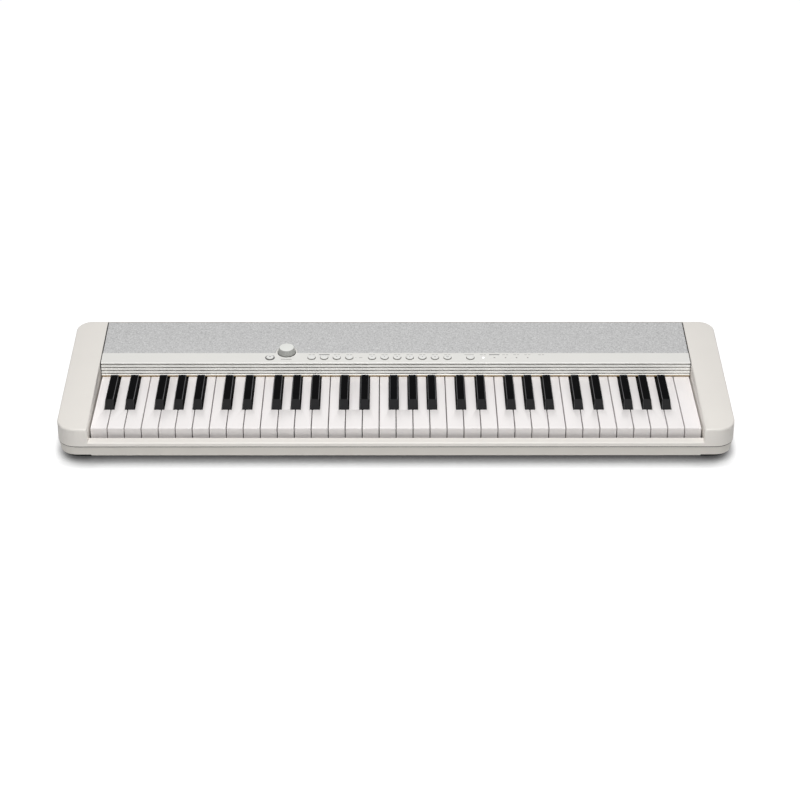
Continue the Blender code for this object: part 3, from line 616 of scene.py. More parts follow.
# Satin ABS knob: the pale cap is its colour; the skirt is painted greyer as painted shade.
KNOB_ABS = MouldedPlastic(
    "abs_moulded_satin_knob",
    "#B0B1AD",
    "#ACADA9",
    0.38,
    grain_mm=0.6,
    grain_depth_mm=0.006,
    lit_facing_colour="#E5E6E2",
    towards=(0.0, -0.0785, 0.9969),
    turned_from=0.5,
)
# Buttons of the same ABS: their steep rims are painted greyer as painted shade.
BUTTON_ABS = MouldedPlastic(
    "abs_moulded_satin_button",
    "#8E8D8A",
    "#8A8986",
    0.4,
    grain_mm=0.6,
    grain_depth_mm=0.006,
    lit_facing_colour="#E5E5E2",
    towards=(0.0, -0.0785, 0.9969),
    turned_from=0.45,
)
# Unpainted ABS inside the case: dark, dull and never seen in full light.
CHASSIS_ABS = MouldedPlastic(
    "abs_moulded_chassis", "#2E2E2F", "#262627", 0.6, grain_mm=1.2, grain_depth_mm=0.02
)
# Synthetic rubber for the feet: black, dull, with a powdery bloom.
FOOT_RUBBER = MouldedPlastic(
    "epdm_moulded_feet",
    "#1F1F1F",
    "#191919",
    0.78,
    grain_mm=0.8,
    grain_depth_mm=0.03,
    ior=1.5,
    cloud_mm=8.0,
)
# Glass laminate under a green resist: semi-gloss, with a slight cloud of the weave.
BOARD_LAMINATE = MouldedPlastic(
    "glass_laminate_green_resist",
    "#1F5A3A",
    "#1A4E33",
    0.35,
    grain_mm=1.4,
    grain_depth_mm=0.01,
    ior=1.55,
    cloud_mm=12.0,
)
# Polyester yarn in pale and mid grey: from a step away it reads as speckled light grey.
# Real yarns lie 0.5 mm apart, too fine to show here, so the cloth is drawn coarser.
GRILLE_CLOTH = WovenCloth(
    "polyester_woven_grille", "#DEDEDE", "#A4A4A4", yarn_mm=1.1, slub_mm=3.6, depth_mm=0.12
)
# Undyed wool felt: tan, matted and quite without gloss.
KEY_FELT = PressedFelt("wool_pressed_felt", "#A88B58", "#866B3E", fibre_mm=0.8)
SPEAKER_STEEL = Metal("steel_pressed_black_lacquer", "#3B3B3D", 0.4, streak_mm=4.0)
# Nickel-plated brass contacts: warm grey, bright.
NICKEL = Metal("brass_nickel_plated", "#C9C3B6", 0.22, streak_mm=1.0)
# Black zinc-plated steel screws, dull and slightly blue.
SCREW_STEEL = Metal("steel_black_zinc", "#4A4B4E", 0.35, streak_mm=0.8)
# Screen-printed ink lies dull on the satin panel.
PALE_INK, MID_INK, DARK_INK = (
    MouldedPlastic(name, colour, drift, 0.6, grain_mm=0.5, grain_depth_mm=0.001)
    for name, colour, drift in (
        ("ink_printed_pale_grey", "#ABA9A6", "#A7A5A2"),
        ("ink_printed_mid_grey", "#8F8D8B", "#9C9A98"),
        ("ink_printed_dark_grey", "#545255", "#504E51"),
    )
)
# A grey ring round each button, dull and a little translucent: painted shade in the gap round it.
BUTTON_GAP_SHADE = MouldedPlastic(
    "button_gap_painted_shade",
    "#7E7C79",
    "#787673",
    0.6,
    grain_mm=0.6,
    grain_depth_mm=0.01,
    specular=0.3,
)
# Black-brown and quite dull: painted shade, laid in the joints and round the foot of the knob.
SEAM_SHADE = MouldedPlastic(
    "seam_painted_shade",
    "#34322F",
    "#2C2A28",
    0.9,
    grain_mm=0.7,
    grain_depth_mm=0.05,
    specular=0.1,
    cloud_mm=6.0,
)
LIT_LAMP = Lamp("acrylic_lens_lit", "#FFFFFF", strength=1.6)
DARK_LAMP = Lamp("acrylic_lens_unlit", "#A3A19D", strength=0.0)


def box_mesh(low: Iterable[float], high: Iterable[float]) -> bmesh.types.BMesh:
    """Makes a box between two corners.

    Args:
        low: the lowest corner.
        high: the highest corner.

    Returns:
        The box.
    """
    low, high = Vector(low), Vector(high)
    made = bmesh.new()
    bmesh.ops.create_cube(made, size=1.0)
    place = Matrix.Translation((low + high) / 2) @ Matrix.Diagonal((*(high - low), 1.0))
    return placed(made, place)


def turned_mesh(profile: list[tuple[float, float]], segments: int) -> bmesh.types.BMesh:
    """Turns a profile about Z.

    Args:
        profile: radius and height of each point, from the axis outwards.
        segments: how many steps the full turn takes.

    Returns:
        The turned shape, closed where the profile meets the axis.
    """
    made = bmesh.new()
    points = [made.verts.new((radius, 0, height)) for radius, height in profile]
    edges = [made.edges.new(pair) for pair in zip(points, points[1:])]
    bmesh.ops.spin(
        made, geom=points + edges, angle=2 * math.pi, steps=segments, axis=(0, 0, 1), cent=(0, 0, 0)
    )
    bmesh.ops.remove_doubles(made, verts=made.verts, dist=WELD_DISTANCE)
    bmesh.ops.recalc_face_normals(made, faces=made.faces)
    return made


def ring_mesh(
    inner: float, outer: float, low: float, high: float, segments: int
) -> bmesh.types.BMesh:
    """Makes a flat ring about Z.

    Args:
        inner: radius of its hole.
        outer: radius of its rim.
        low: height of its underside.
        high: height of its top.
        segments: how many steps the full turn takes.

    Returns:
        The ring, as one closed shape.
    """
    section = [(inner, low), (outer, low), (outer, high), (inner, high), (inner, low)]
    return turned_mesh(section, segments)


def placed(shape: bmesh.types.BMesh, place: Matrix) -> bmesh.types.BMesh:
    """Moves a shape.

    Args:
        shape: the shape, which is changed.
        place: where its own axes go.

    Returns:
        The same shape.
    """
    bmesh.ops.transform(shape, matrix=place, verts=shape.verts)
    return shape


def eased(shape: bmesh.types.BMesh) -> bmesh.types.BMesh:
    """Rounds every edge of a shape.

    Args:
        shape: the shape, which is changed.

    Returns:
        The same shape.
    """
    bmesh.ops.bevel(
        shape, geom=shape.edges[:], offset=EASED_EDGE, segments=2, profile=0.5, affect="EDGES"
    )
    return shape


def merged(shapes: Iterable[bmesh.types.BMesh]) -> bmesh.types.BMesh:
    """Puts several shapes into one mesh.

    Args:
        shapes: the shapes, which are used up.

    Returns:
        One mesh that holds them all.
    """
    whole = bmesh.new()
    for shape in shapes:
        carrier = bpy.data.meshes.new("carrier")
        shape.to_mesh(carrier)
        shape.free()
        whole.from_mesh(carrier)
        bpy.data.meshes.remove(carrier)
    return whole


@dataclass
class Workshop:
    """Makes pieces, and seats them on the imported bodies."""

    nodes: dict[str, bpy.types.Object]
    bodies: dict[str, list[str]]

    def body_of(self, node: str) -> str:
        """Returns the body that a CAD node belongs to."""
        return next(body for body, members in self.bodies.items() if node in members)

    def piece(
        self,
        name: str,
        shape: bmesh.types.BMesh,
        finish: Finish,
        slot: str,
        body: str = "body",
        place: Matrix | None = None,
    ) -> bpy.types.Object:
        """Makes a piece that rides on a body, and reports it.

        Args:
            name: the piece's name.
            shape: its mesh, which is used up.
            finish: what it is made of.
            slot: the record's material slot; not used.
            body: the body that carries it.
            place: where its own axes lie, if not at the origin.

        Returns:
            The piece.
        """
        mesh = bpy.data.meshes.new(name)
        shape.to_mesh(mesh)
        shape.free()
        mesh.materials.append(bpy.data.materials.get(finish.name) or finish.material())
        mesh.shade_smooth()
        mesh.set_sharp_from_angle(angle=SMOOTH_ANGLE)
        made = bpy.data.objects.new(name, mesh)
        if place is not None:
            made.matrix_world = place
        bpy.context.scene.collection.objects.link(made)
        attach(made, body)
        LOG.info("%s rides on %s", name, body)
        return made

    def refined(
        self, node: str, finish: Finish, slot: str, edge_mm: float, segments: int = 2
    ) -> None:
        """Makes the piece that shows in place of a CAD node, with softened edges.

        Args:
            node: the node, whose shape and place it keeps.
            finish: what it is made of.
            slot: the record's material slot.
            edge_mm: radius of the moulded edges.
            segments: how many faces round an edge.
        """
        shape = bmesh.new()
        shape.from_mesh(self.nodes[node].data)
        bmesh.ops.remove_doubles(shape, verts=shape.verts, dist=WELD_DISTANCE)
        bmesh.ops.dissolve_limit(
            shape, angle_limit=FLAT_ANGLE, verts=shape.verts, edges=shape.edges
        )
        made = self.piece(f"{node}_dressed", shape, finish, slot, self.body_of(node))
        soften = made.modifiers.new("moulded_edges", "BEVEL")
        soften.width = edge_mm * MM
        soften.segments = segments
        soften.limit_method = "ANGLE"
        soften.angle_limit = SMOOTH_ANGLE
        soften.harden_normals = True
        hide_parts(node)


@dataclass
class SlopingTop:
    """The case's sloping top, on which the panel, its print and the lamps lie."""

    slope: float = math.radians(4.5)
    height_at_front: float = 0.0482
    front: float = field(default_factory=lambda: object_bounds()[0].y)

    def place(self, x: float, y: float, above: float = 0.0) -> Matrix:
        """Finds a place on the top.

        Args:
            x: place along the keys.
            y: place from front to rear, seen from above.
            above: distance off the surface.

        Returns:
            Axes there, with Z square to the surface.
        """
        height = self.height_at_front + (y - self.front) * math.tan(self.slope)
        turn = Matrix.Rotation(self.slope, 4, "X")
        return Matrix.Translation((x, y, height)) @ turn @ Matrix.Translation((0, 0, above))


@dataclass
class Case:
    """Upper and lower case, battery cover, feet and screws."""

    shop: Workshop
    edge_mm: float = 0.35
    screw_head_mm: float = 7.0
    screw_rise_mm: float = 1.2
    screw_sunk_mm: float = 0.1
    screw_profile: tuple[tuple[float, float], ...] = (
        (0.0, 0.45),
        (0.16, 0.45),
        (0.352, 1.0),
        (0.72, 0.92),
        (0.95, 0.55),
        (1.0, 0.0),
        (0.0, 0.0),
    )
    screw_columns: int = 6
    screw_from_front: float = 0.030
    screw_from_rear: float = 0.075
    screw_from_side: float = 0.075
    grip_ribs: int = 5
    grip_rib_mm: float = 1.2
    grip_length_mm: float = 26.0
    grip_proud_mm: float = 0.5
    grip_sunk_mm: float = 0.2
    grip_from_front: float = 0.008

    def screw_shape(self) -> bmesh.types.BMesh:
        """Makes a pan head with a round recess, facing +Z.

        Returns:
            One screw's head.
        """
        radius, rise = self.screw_head_mm / 2 * MM, self.screw_rise_mm * MM
        profile = [(radius * out, rise * up) for out, up in self.screw_profile]
        return turned_mesh(profile, segments=16)

    def screws(self) -> None:
        """Puts two rows of screws into the underside."""
        low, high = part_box("lower_case")
        reach = (high.x - low.x) / 2 - self.screw_from_side
        z = low.z + self.screw_sunk_mm * MM
        turn = Matrix.Rotation(math.pi, 4, "X")
        heads = []
        for y in (low.y + self.screw_from_front, high.y - self.screw_from_rear):
            for column in range(self.screw_columns):
                x = -reach + 2 * reach * column / (self.screw_columns - 1)
                heads.append(placed(self.screw_shape(), Matrix.Translation((x, y, z)) @ turn))
        self.shop.piece("underside_screws", merged(heads), SCREW_STEEL, "speaker_steel")

    def cover_grip(self) -> None:
        """Ribs that a thumb pushes the battery cover by."""
        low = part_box("battery_cover")[0]
        rib = self.grip_rib_mm * MM
        half = self.grip_length_mm / 2 * MM
        bottom, top = low.z - self.grip_proud_mm * MM, low.z + self.grip_sunk_mm * MM
        ribs = []
        for index in range(self.grip_ribs):
            y = low.y + self.grip_from_front + index * 2 * rib
            ribs.append(box_mesh((-half, y, bottom), (half, y + rib, top)))
        shape = eased(merged(ribs))
        self.shop.piece("battery_cover_grip", shape, LOWER_ABS, "lower_plastic", "battery_cover")

    def build(self) -> None:
        """Builds and dresses the whole case."""
        self.shop.refined("upper_case", CASE_ABS, "case_plastic", self.edge_mm, segments=3)
        self.shop.refined("lower_case", LOWER_ABS, "lower_plastic", self.edge_mm)
        self.shop.refined("battery_cover", LOWER_ABS, "lower_plastic", edge_mm=0.2)
        for node in self.shop.nodes:
            if node.startswith("foot_"):
                self.shop.refined(node, FOOT_RUBBER, "rubber", edge_mm=0.6, segments=3)
        self.screws()
        self.cover_grip()


@dataclass
class Keybed:
    """White keys, black keys, felt strip and the chassis under them."""

    shop: Workshop
    white_edge_mm: float = 0.35
    black_edge_mm: float = 0.5

    def build(self) -> None:
        """Dresses the keys and what carries them."""
        for node in sorted(self.shop.nodes):
            if node.startswith("white_key"):
                self.shop.refined(node, WHITE_KEY_RESIN, "white_key_plastic", self.white_edge_mm)
            elif node.startswith("black_keys"):
                self.shop.refined(node, BLACK_KEY_ABS, "black_key_plastic", self.black_edge_mm)
        self.shop.refined("key_felt", KEY_FELT, "felt", edge_mm=0.5)
        self.shop.refined("key_chassis", CHASSIS_ABS, "chassis_plastic", edge_mm=0.3)


class Ink(Enum):
    """The inks on the panel."""

    PALE = "pale"
    MID = "mid"
    DARK = "dark"


INK_FINISHES = {Ink.PALE: PALE_INK, Ink.MID: MID_INK, Ink.DARK: DARK_INK}


class Sign(Enum):
    """The plain signs that button tops may carry."""

    BARE = "bare"
    POWER = "power"
    DOT = "dot"
    RING = "ring"
    PLUS = "plus"
    MINUS = "minus"
    BAR = "bar"


@dataclass(frozen=True)
class PrintedBar:
    """A plain printed bar on the panel.

    Args:
        x: its middle along the keys.
        behind_face: its middle behind the panel's front face.
        width: along the keys.
        height: from front to rear.
        ink: what it is printed in.
    """

    x: float
    behind_face: float
    width: float
    height: float
    ink: Ink


@dataclass(frozen=True)
class ButtonRow:
    """The buttons that one CAD node holds.

    Args:
        node: the node, which is also the body that they move with.
        first_x: middle of the leftmost button.
        signs: the sign on each button, from left to right.
    """

    node: str
    first_x: float
    signs: tuple[Sign, ...]


@dataclass
class ControlPanel:
    """The strip with the knob, the buttons, the lamps and the print."""

    shop: Workshop
    top: SlopingTop
    label_row: float = 0.0217
    button_row: float = 0.0140
    label_height: float = 0.0011
    lamp_radius: float = 0.0013
    lamp_rise: float = 0.0005
    lamp_profile: tuple[tuple[float, float], ...] = (
        (0.0, 1.0),
        (0.5, 0.9),
        (0.85, 0.55),
        (1.0, 0.0),
        (1.0, -1.0),
        (0.0, -1.0),
    )
    lamp_xs: tuple[float, ...] = (0.1251, 0.1411, 0.1570, 0.1727, 0.1887)
    ink_thickness: float = 0.00006
    button_pitch: float = 0.018
    button_radius: float = 0.0056
    button_rise: float = 0.0017
    hole_radius: float = 0.0060
    gap_shade_low: float = -0.0006
    gap_shade_high: float = 0.0003
    gap_shade_clearance: float = 0.00006
    power_ring_gap: float = 0.0001
    power_ring_width: float = 0.0010
    sign_size: float = 0.0030
    sign_stroke: float = 0.0006
    dot_share: float = 0.55
    power_stroke_share: float = 1.3
    power_stroke_layers: float = 1.5
    last_label_x: float = 0.2085
    wide_bar: float = 0.0150
    wide_bar_share: float = 1.4
    short_bars: tuple[tuple[float, float], ...] = ((-0.0024, 0.0040), (0.0026, 0.0032))
    mode_bar: tuple[float, float] = (-0.0015, 0.0135)
    knob_bar: tuple[float, float] = (0.0095, 0.0150)
    row_bars: tuple[tuple[float, float, Ink], ...] = (
        (-0.0502, 0.0045, Ink.MID),
        (-0.0571, 0.0012, Ink.PALE),
    )
    knob_x: float = -0.1565
    knob_row: float = 0.0289
    knob_foot_shade_radii: tuple[float, float] = (0.0120, 0.0132)
    knob_foot_shade_heights: tuple[float, float] = (-0.0008, -0.0003)
    rows: tuple[ButtonRow, ...] = (
        ButtonRow("power_button", -0.1799, (Sign.POWER,)),
        ButtonRow("tone_buttons", -0.1204, (Sign.BARE, Sign.BARE, Sign.DOT, Sign.BARE)),
        ButtonRow(
            "function_buttons",
            -0.0340,
            (Sign.MINUS, Sign.DOT, Sign.DOT, Sign.BAR, Sign.DOT, Sign.PLUS, Sign.RING),
        ),
        ButtonRow("mode_button", 0.1067, (Sign.BARE,)),
    )

    def face(self) -> float:
        """Returns the place of the panel's front face."""
        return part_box("control_panel")[0].y

    def button_xs(self, row: ButtonRow) -> list[float]:
        """Returns the middle of each button in a row."""
        return [row.first_x + index * self.button_pitch for index in range(len(row.signs))]

    def bars(self) -> list[PrintedBar]:
        """Lists the printed bars.

        Returns:
            The bars of the label row, and then those beside the buttons.
        """
        tone, function, mode = (self.button_xs(row) for row in self.rows[1:])
        row, low = self.label_row, self.label_height
        bars = []
        for x in (*tone, *function, *self.lamp_xs, self.last_label_x):
            if x in (tone[1], self.lamp_xs[1]):
                high = self.wide_bar_share * low
                bars.append(PrintedBar(x, row, self.wide_bar, high, Ink.DARK))
                continue
            for shift, width in self.short_bars:
                bars.append(PrintedBar(x + shift, row, width, low, Ink.PALE))
        shift, width = self.mode_bar
        bars.append(PrintedBar(mode[0] + shift, row, width, low, Ink.PALE))
        bars.append(PrintedBar(self.knob_x, *self.knob_bar, low, Ink.MID))
        for x, width, ink in self.row_bars:
            bars.append(PrintedBar(x, self.button_row, width, low, ink))
        return bars

    def print_marks(self) -> None:
        """Prints the bars on the panel, one piece for each ink."""
        for ink, finish in INK_FINISHES.items():
            shapes = []
            bars = [bar for bar in self.bars() if bar.ink is ink]
            for bar in bars:
                x, y = bar.width / 2, bar.height / 2
                shape = box_mesh((-x, -y, 0.0), (x, y, self.ink_thickness))
                place = self.top.place(bar.x, self.face() + bar.behind_face, INK_LIFT)
                shapes.append(placed(shape, place))
            self.shop.piece(f"panel_print_{ink.value}", merged(shapes), finish, "panel_plastic")

    def sign_shape(self, sign: Sign) -> bmesh.types.BMesh:
        """Makes a sign, flat on Z = 0.

        Args:
            sign: which sign.

        Returns:
            Its ink, as a thin shape.
        """
        half, stroke, thick = self.sign_size / 2, self.sign_stroke / 2, self.ink_thickness
        across = ((-half, -stroke, 0.0), (half, stroke, thick))
        upright = ((-stroke, -half, 0.0), (stroke, half, thick))
        ring = (half - 2 * stroke, half, 0.0, thick, 24)
        end, height = half * self.power_stroke_share, thick * self.power_stroke_layers
        power_stroke = ((-stroke, 0.0, 0.0), (stroke, end, height))
        dot = half * self.dot_share
        makers = {
            Sign.POWER: lambda: [ring_mesh(*ring), box_mesh(*power_stroke)],
            Sign.DOT: lambda: [turned_mesh([(0, thick), (dot, thick), (dot, 0)], segments=20)],
            Sign.RING: lambda: [ring_mesh(*ring)],
            Sign.PLUS: lambda: [box_mesh(*across), box_mesh(*upright)],
            Sign.MINUS: lambda: [box_mesh(*across)],
            Sign.BAR: lambda: [box_mesh(*upright)],
        }
        return merged(makers[sign]())

    def buttons(self) -> None:
        """Puts a grey ring round each button as painted shade in its gap, and a sign on those that
        carry one.
        """
        inner = self.button_radius + self.gap_shade_clearance
        outer = self.hole_radius - self.gap_shade_clearance
        lift = Matrix.Translation((0, 0, self.button_rise + 2 * INK_LIFT))
        for row in self.rows:
            gap_shade_rings, signs = [], []
            for x, sign in zip(self.button_xs(row), row.signs):
                place = self.top.place(x, self.face() + self.button_row)
                gap_shade_ring = ring_mesh(inner, outer, self.gap_shade_low, self.gap_shade_high, segments=40)
                gap_shade_rings.append(placed(gap_shade_ring, place))
                if sign is not Sign.BARE:
                    signs.append(placed(self.sign_shape(sign), place @ lift))
            for shapes, finish, what in (
                (gap_shade_rings, BUTTON_GAP_SHADE, "gap_shade_rings"), (signs, MID_INK, "signs")
            ):
                if shapes:
                    name = f"{row.node}_{what}"
                    self.shop.piece(name, merged(shapes), finish, "knob_plastic", row.node)

    def power_ring(self) -> None:
        """Prints the dark ring round the power button."""
        inner = self.hole_radius + self.power_ring_gap
        outer = self.hole_radius + self.power_ring_width
        shape = ring_mesh(inner, outer, 0.0, self.ink_thickness, segments=48)
        place = self.top.place(self.rows[0].first_x, self.face() + self.button_row, INK_LIFT)
        self.shop.piece("power_button_ring", shape, DARK_INK, "panel_plastic", place=place)

    def washer(self) -> None:
        """Lays the dark ring round the foot of the knob: painted shade."""
        shape = ring_mesh(*self.knob_foot_shade_radii, *self.knob_foot_shade_heights, segments=64)
        place = self.top.place(self.knob_x, self.face() + self.knob_row)
        self.shop.piece("volume_knob_washer", shape, SEAM_SHADE, "panel_plastic", place=place)

    def lamps(self) -> None:
        """Sets the small lenses into the panel; the first is lit."""
        profile = [
            (self.lamp_radius * out, self.lamp_rise * up) for out, up in self.lamp_profile
        ]
        for index, x in enumerate(self.lamp_xs):
            place = self.top.place(x, self.face() + self.button_row)
            finish = DARK_LAMP if index else LIT_LAMP
            lens = turned_mesh(profile, segments=20)
            self.shop.piece(f"lamp_{index + 1}", lens, finish, "panel_plastic", place=place)

    def build(self) -> None:
        """Dresses the panel and everything on it."""
        self.shop.refined("control_panel", PANEL_ABS, "panel_plastic", edge_mm=0.25)
        self.shop.refined("volume_knob", KNOB_ABS, "knob_plastic", edge_mm=0.35, segments=3)
        for row in self.rows:
            self.shop.refined(row.node, BUTTON_ABS, "knob_plastic", edge_mm=0.15, segments=3)
        self.buttons()
        self.power_ring()
        self.washer()
        self.print_marks()
        self.lamps()


@dataclass
class Seams:
    """Dark strips in the joints, as painted shade: beside the panel and the grille, and between the
    case's halves.
    """

    shop: Workshop
    top: SlopingTop
    width: float = 0.0010
    clearance: float = 0.0001
    depth: float = 0.0020
    below_surface: float = 0.0009
    parting_low: float = 0.0205
    parting_high: float = 0.0213
    parting_proud: float = 0.0003
    parting_sunk: float = 0.0004
    front_radius: float = 0.0272
    rear_radius: float = 0.0217
    corner_steps: int = 14

    def outline(self, grow: float) -> list[tuple[float, float]]:
        """Follows the lower case from above.

        Args:
            grow: how far outside the case the line runs.

        Returns:
            The line's points, anticlockwise from the front right corner.
        """
        low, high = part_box("lower_case")
        corners = (
            (high.x, low.y, self.front_radius, -math.pi / 2),
            (high.x, high.y, self.rear_radius, 0.0),
            (low.x, high.y, self.rear_radius, math.pi / 2),
            (low.x, low.y, self.front_radius, math.pi),
        )
        points = []
        for x, y, radius, start in corners:
            centre_x, centre_y = x - math.copysign(radius, x), y - math.copysign(radius, y)
            reach = radius + grow
            for step in range(self.corner_steps + 1):
                angle = start + math.pi / 2 * step / self.corner_steps
                ahead, aside = reach * math.cos(angle), reach * math.sin(angle)
                points.append((centre_x + ahead, centre_y + aside))
        return points

    def parting(self) -> None:
        """Lays the dark bead between the upper and the lower case: painted shade in the joint."""
        rings = [
            (self.parting_proud, self.parting_low),
            (self.parting_proud, self.parting_high),
            (-self.parting_sunk, self.parting_high),
            (-self.parting_sunk, self.parting_low),
        ]
        shape = bmesh.new()
        loops = [
            [shape.verts.new((x, y, height)) for x, y in self.outline(grow)]
            for grow, height in rings
        ]
        for loop, following in zip(loops, loops[1:] + loops[:1]):
            for index, vertex in enumerate(loop):
                after = (index + 1) % len(loop)
                shape.faces.new((vertex, loop[after], following[after], following[index]))
        bmesh.ops.recalc_face_normals(shape, faces=shape.faces)
        self.shop.piece("parting_seam", shape, SEAM_SHADE, "rubber")

    def ends(self) -> None:
        """Lays one dark strip at each end of the panel and the grille: painted shade in the gap."""
        front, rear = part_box("control_panel")[0].y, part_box("speaker_grille")[1].y
        half_length = (rear - front) / 2 - self.clearance
        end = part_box("speaker_grille")[1].x + self.clearance
        for side, name in ((-1, "left"), (1, "right")):
            place = self.top.place(side * (end + self.width / 2), (front + rear) / 2)
            strip = box_mesh(
                (-self.width / 2, -half_length, -self.below_surface - self.depth),
                (self.width / 2, half_length, -self.below_surface),
            )
            self.shop.piece(f"seam_shade_{name}", eased(strip), SEAM_SHADE, "rubber", place=place)

    def build(self) -> None:
        """Lays every strip."""
        self.parting()
        self.ends()


@dataclass
class SpeakerSystem:
    """The cloth-covered grille and the two drivers under it."""

    shop: Workshop

    def build(self) -> None:
        """Dresses the grille and the drivers."""
        self.shop.refined(
            "speaker_grille", GRILLE_CLOTH, "grille_fabric", edge_mm=0.5, segments=3
        )
        for node in ("speaker_left", "speaker_right"):
            self.shop.refined(node, SPEAKER_STEEL, "speaker_steel", edge_mm=0.3)


@dataclass
class Electronics:
    """The circuit board and the contacts in its sockets."""

    shop: Workshop
    middle_x: float = 0.240
    spacing: float = 0.060
    middle_height: float = 0.0276
    power_bore: float = 0.0029
    phones_bore: float = 0.0018
    rim: float = 0.0008
    rim_flat: float = 0.8
    lift: float = 0.00002
    proud: float = 0.00015
    sleeve_depth: float = 0.006
    wall: float = 0.00012
    slot_size: tuple[float, float] = (0.0084, 0.0030)

    def contacts(self) -> None:
        """Lines each socket with its metal: two sleeves and one shell."""
        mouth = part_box("main_board")[1].y
        turn = Matrix.Rotation(-math.pi / 2, 4, "X")
        sheet = 3 * self.wall
        shapes = []
        for side, bore in ((1, self.power_bore), (-1, self.phones_bore)):
            inner = bore - sheet
            section = [
                (inner, -self.sleeve_depth),
                (bore - self.wall, -self.sleeve_depth),
                (bore - self.wall, self.lift),
                (bore + self.rim, self.lift),
                (bore + self.rim * self.rim_flat, self.proud),
                (inner + self.wall, self.proud),
                (inner, 0.0),
                (inner, -self.sleeve_depth),
            ]
            place = Matrix.Translation((side * self.spacing, 0.0, 0.0)) @ turn
            shapes.append(placed(turned_mesh(section, segments=32), place))
        x, z = (size / 2 - self.wall for size in self.slot_size)
        for side in (-1, 1):
            for low_x, low_z in ((x - sheet, -z), (-x, z - sheet)):
                xs, zs = sorted((side * low_x, side * x)), sorted((side * low_z, side * z))
                low = (xs[0], -self.sleeve_depth, zs[0])
                shapes.append(box_mesh(low, (xs[1], self.proud, zs[1])))
        middle = Matrix.Translation((self.middle_x, mouth, self.middle_height))
        shape = placed(merged(shapes), middle)
        self.shop.piece("socket_contacts", shape, NICKEL, "speaker_steel")

    def build(self) -> None:
        """Dresses the board."""
        self.shop.refined("main_board", BOARD_LAMINATE, "board_laminate", edge_mm=0.15)
        self.contacts()


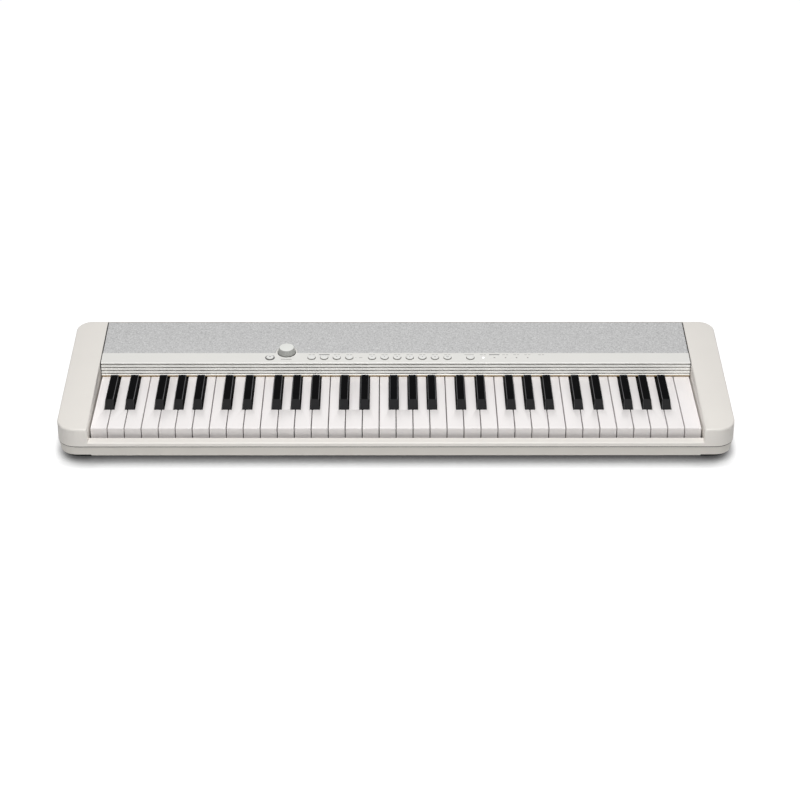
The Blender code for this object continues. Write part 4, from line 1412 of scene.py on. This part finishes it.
@dataclass
class Studio:
    """Floor, light and the camera that took the photograph."""

    target: tuple[float, float, float] = (0.00593, 0.00046, 0.01578)
    distance: float = 3.1352
    elevation: float = 0.5136
    heading: float = 0.0058
    roll: float = 0.0026
    lens_mm: float = 99.02
    sensor_mm: float = 36.0
    floor_half: float = 6.0
    fill_strength: float = 0.13
    softbox_power: float = 80.0
    softbox_elevation: float = math.radians(70)
    softbox_distance: float = 3.0
    softbox_size: tuple[float, float] = (1.0, 1.3)
    contact_reach: float = 0.015
    contact_power: float = 1.3
    shadow_reach: float = 0.038
    shadow_full: float = 0.54
    shadow_fade: float = 2.3
    shadow_depth: float = 0.73
    shadow_lean: float = math.radians(50)
    paper_glow: float = 1.26
    paper_glow_share: float = 0.7

    def camera(self) -> None:
        """Stands the camera where the photograph was taken."""
        data = bpy.data.cameras.new("studio_camera")
        data.lens = self.lens_mm
        data.sensor_width = self.sensor_mm
        data.clip_end = 50.0
        camera = bpy.data.objects.new("studio_camera", data)
        bpy.context.scene.collection.objects.link(camera)
        tilt = Matrix.Rotation(math.pi / 2 - self.elevation, 4, "X")
        turn = Matrix.Rotation(-self.heading, 4, "Z") @ tilt @ Matrix.Rotation(self.roll, 4, "Z")
        view = turn @ Vector((0, 0, -1))
        camera.matrix_world = Matrix.Translation(Vector(self.target) - view * self.distance) @ turn
        bpy.context.scene.camera = camera

    def openness(
        self, tree: bpy.types.NodeTree, reach: float, lean: float
    ) -> bpy.types.NodeSocket:
        """Measures how much of the light from one direction reaches the floor.

        Args:
            tree: the floor material's node tree.
            reach: how far away something may stand and still shade the floor.
            lean: angle of the direction from straight up, towards the rear.

        Returns:
            1 where nothing stands in the way.
        """
        direction = add_node(
            tree, "ShaderNodeCombineXYZ", {"Y": math.sin(lean), "Z": math.cos(lean)}
        )
        open_sky = add_node(
            tree,
            "ShaderNodeAmbientOcclusion",
            {"samples": 16, "Distance": reach},
            {"Normal": direction.outputs["Vector"]},
        )
        return open_sky.outputs["AO"]

    def shaded_paper(self, tree: bpy.types.NodeTree) -> bpy.types.NodeSocket:
        """Deepens the shadow close to the object and in front of it.

        Args:
            tree: the floor material's node tree.

        Returns:
            The floor's brightness, 1 in the open.
        """
        rearward = self.openness(tree, self.shadow_reach, self.shadow_lean)
        frontward = self.openness(tree, self.shadow_reach, -self.shadow_lean)
        hidden = add_node(
            tree, "ShaderNodeMath", {"operation": "SUBTRACT"}, {0: frontward, 1: rearward}
        )
        for operation, value in (
            ("DIVIDE", self.shadow_full),
            ("POWER", self.shadow_fade),
            ("MULTIPLY", self.shadow_depth),
        ):
            hidden = add_node(
                tree,
                "ShaderNodeMath",
                {"operation": operation, "use_clamp": operation == "DIVIDE", 1: value},
                {0: hidden.outputs[0]},
            )
        lit = add_node(
            tree, "ShaderNodeMath", {"operation": "SUBTRACT", 0: 1.0}, {1: hidden.outputs[0]}
        )
        contact = add_node(
            tree,
            "ShaderNodeMath",
            {"operation": "POWER", 1: self.contact_power},
            {0: self.openness(tree, self.contact_reach, 0.0)},
        )
        shade = add_node(
            tree,
            "ShaderNodeMath",
            {"operation": "MULTIPLY"},
            {0: lit.outputs[0], 1: contact.outputs[0]},
        )
        return shade.outputs[0]

    def floor(self) -> None:
        """Lays the pale floor, which keeps the object's shadow."""
        half = self.floor_half
        shape = bmesh.new()
        corners = ((-half, -half), (half, -half), (half, half), (-half, half))
        shape.faces.new([shape.verts.new((x, y, 0.0)) for x, y in corners])
        mesh = bpy.data.meshes.new("studio_floor")
        shape.to_mesh(mesh)
        shape.free()
        settings = {"Base Color": linear("#EFEFEF"), "Roughness": 1.0, "Specular IOR Level": 0.0}
        material, tree, shader = new_material("paper_matt_white", settings)
        path = add_node(tree, "ShaderNodeLightPath")
        paper = self.shaded_paper(tree)
        matt = add_node(tree, "ShaderNodeBsdfDiffuse", links={"Color": paper})
        glow = add_node(
            tree, "ShaderNodeEmission", {"Strength": self.paper_glow}, {"Color": paper}
        )
        both = add_node(
            tree,
            "ShaderNodeMixShader",
            {0: self.paper_glow_share},
            {1: matt.outputs[0], 2: glow.outputs[0]},
        )
        shown = add_node(
            tree,
            "ShaderNodeMixShader",
            links={0: path.outputs["Is Camera Ray"], 1: shader.outputs[0], 2: both.outputs[0]},
        )
        output = tree.nodes["Material Output"]
        tree.links.new(shown.outputs[0], output.inputs["Surface"])
        mesh.materials.append(material)
        floor = bpy.data.objects.new("studio_floor", mesh)
        bpy.context.scene.collection.objects.link(floor)
        floor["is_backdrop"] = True

    def world(self) -> None:
        """A white backdrop for the eye, and an even fill for the object."""
        world = bpy.data.worlds.new("studio_world")
        world.use_nodes = True
        bpy.context.scene.world = world
        tree = world.node_tree
        path = add_node(tree, "ShaderNodeLightPath")
        seen = path.outputs["Is Camera Ray"]
        for ray in ("Is Glossy Ray", "Is Transmission Ray"):
            either = add_node(
                tree, "ShaderNodeMath", {"operation": "MAXIMUM"}, {0: seen, 1: path.outputs[ray]}
            )
            seen = either.outputs[0]
        fill = tree.nodes["Background"]
        fill.inputs["Color"].default_value = linear("#FFFFFF")
        fill.inputs["Strength"].default_value = self.fill_strength
        backdrop = add_node(
            tree, "ShaderNodeBackground", {"Color": linear("#FFFFFF"), "Strength": 1.0}
        )
        mixed = add_node(
            tree, "ShaderNodeMixShader", links={0: seen, 1: fill.outputs[0], 2: backdrop.outputs[0]}
        )
        tree.links.new(mixed.outputs[0], tree.nodes["World Output"].inputs["Surface"])

    def softbox(self) -> None:
        """Hangs the one soft rectangular lamp, high in front."""
        data = bpy.data.lights.new("softbox", "AREA")
        data.shape = "RECTANGLE"
        data.size, data.size_y = self.softbox_size
        data.energy = self.softbox_power
        lamp = bpy.data.objects.new("softbox", data)
        bpy.context.scene.collection.objects.link(lamp)
        reach, angle = self.softbox_distance, self.softbox_elevation
        place = Vector((0.0, -reach * math.cos(angle), reach * math.sin(angle)))
        turn = (Vector() - place).to_track_quat("-Z", "Y").to_matrix().to_4x4()
        lamp.matrix_world = Matrix.Translation(place) @ turn

    def build(self) -> None:
        """Sets up the whole studio."""
        bpy.context.scene.view_settings.view_transform = "Standard"
        self.camera()
        self.floor()
        self.world()
        self.softbox()


def main() -> None:
    """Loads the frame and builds."""
    logging.basicConfig(level=logging.INFO, format="%(message)s")
    for old in list(bpy.data.objects):
        bpy.data.objects.remove(old)
    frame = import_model()
    shop = Workshop(frame["nodes"], frame["record"]["behaviour"]["bodies"])
    top = SlopingTop()
    for assembly in (
        Studio(),
        Case(shop),
        Keybed(shop),
        ControlPanel(shop, top),
        SpeakerSystem(shop),
        Seams(shop, top),
        Electronics(shop),
    ):
        assembly.build()
        LOG.info("%s built", type(assembly).__name__)


if __name__ == "__main__":
    main()
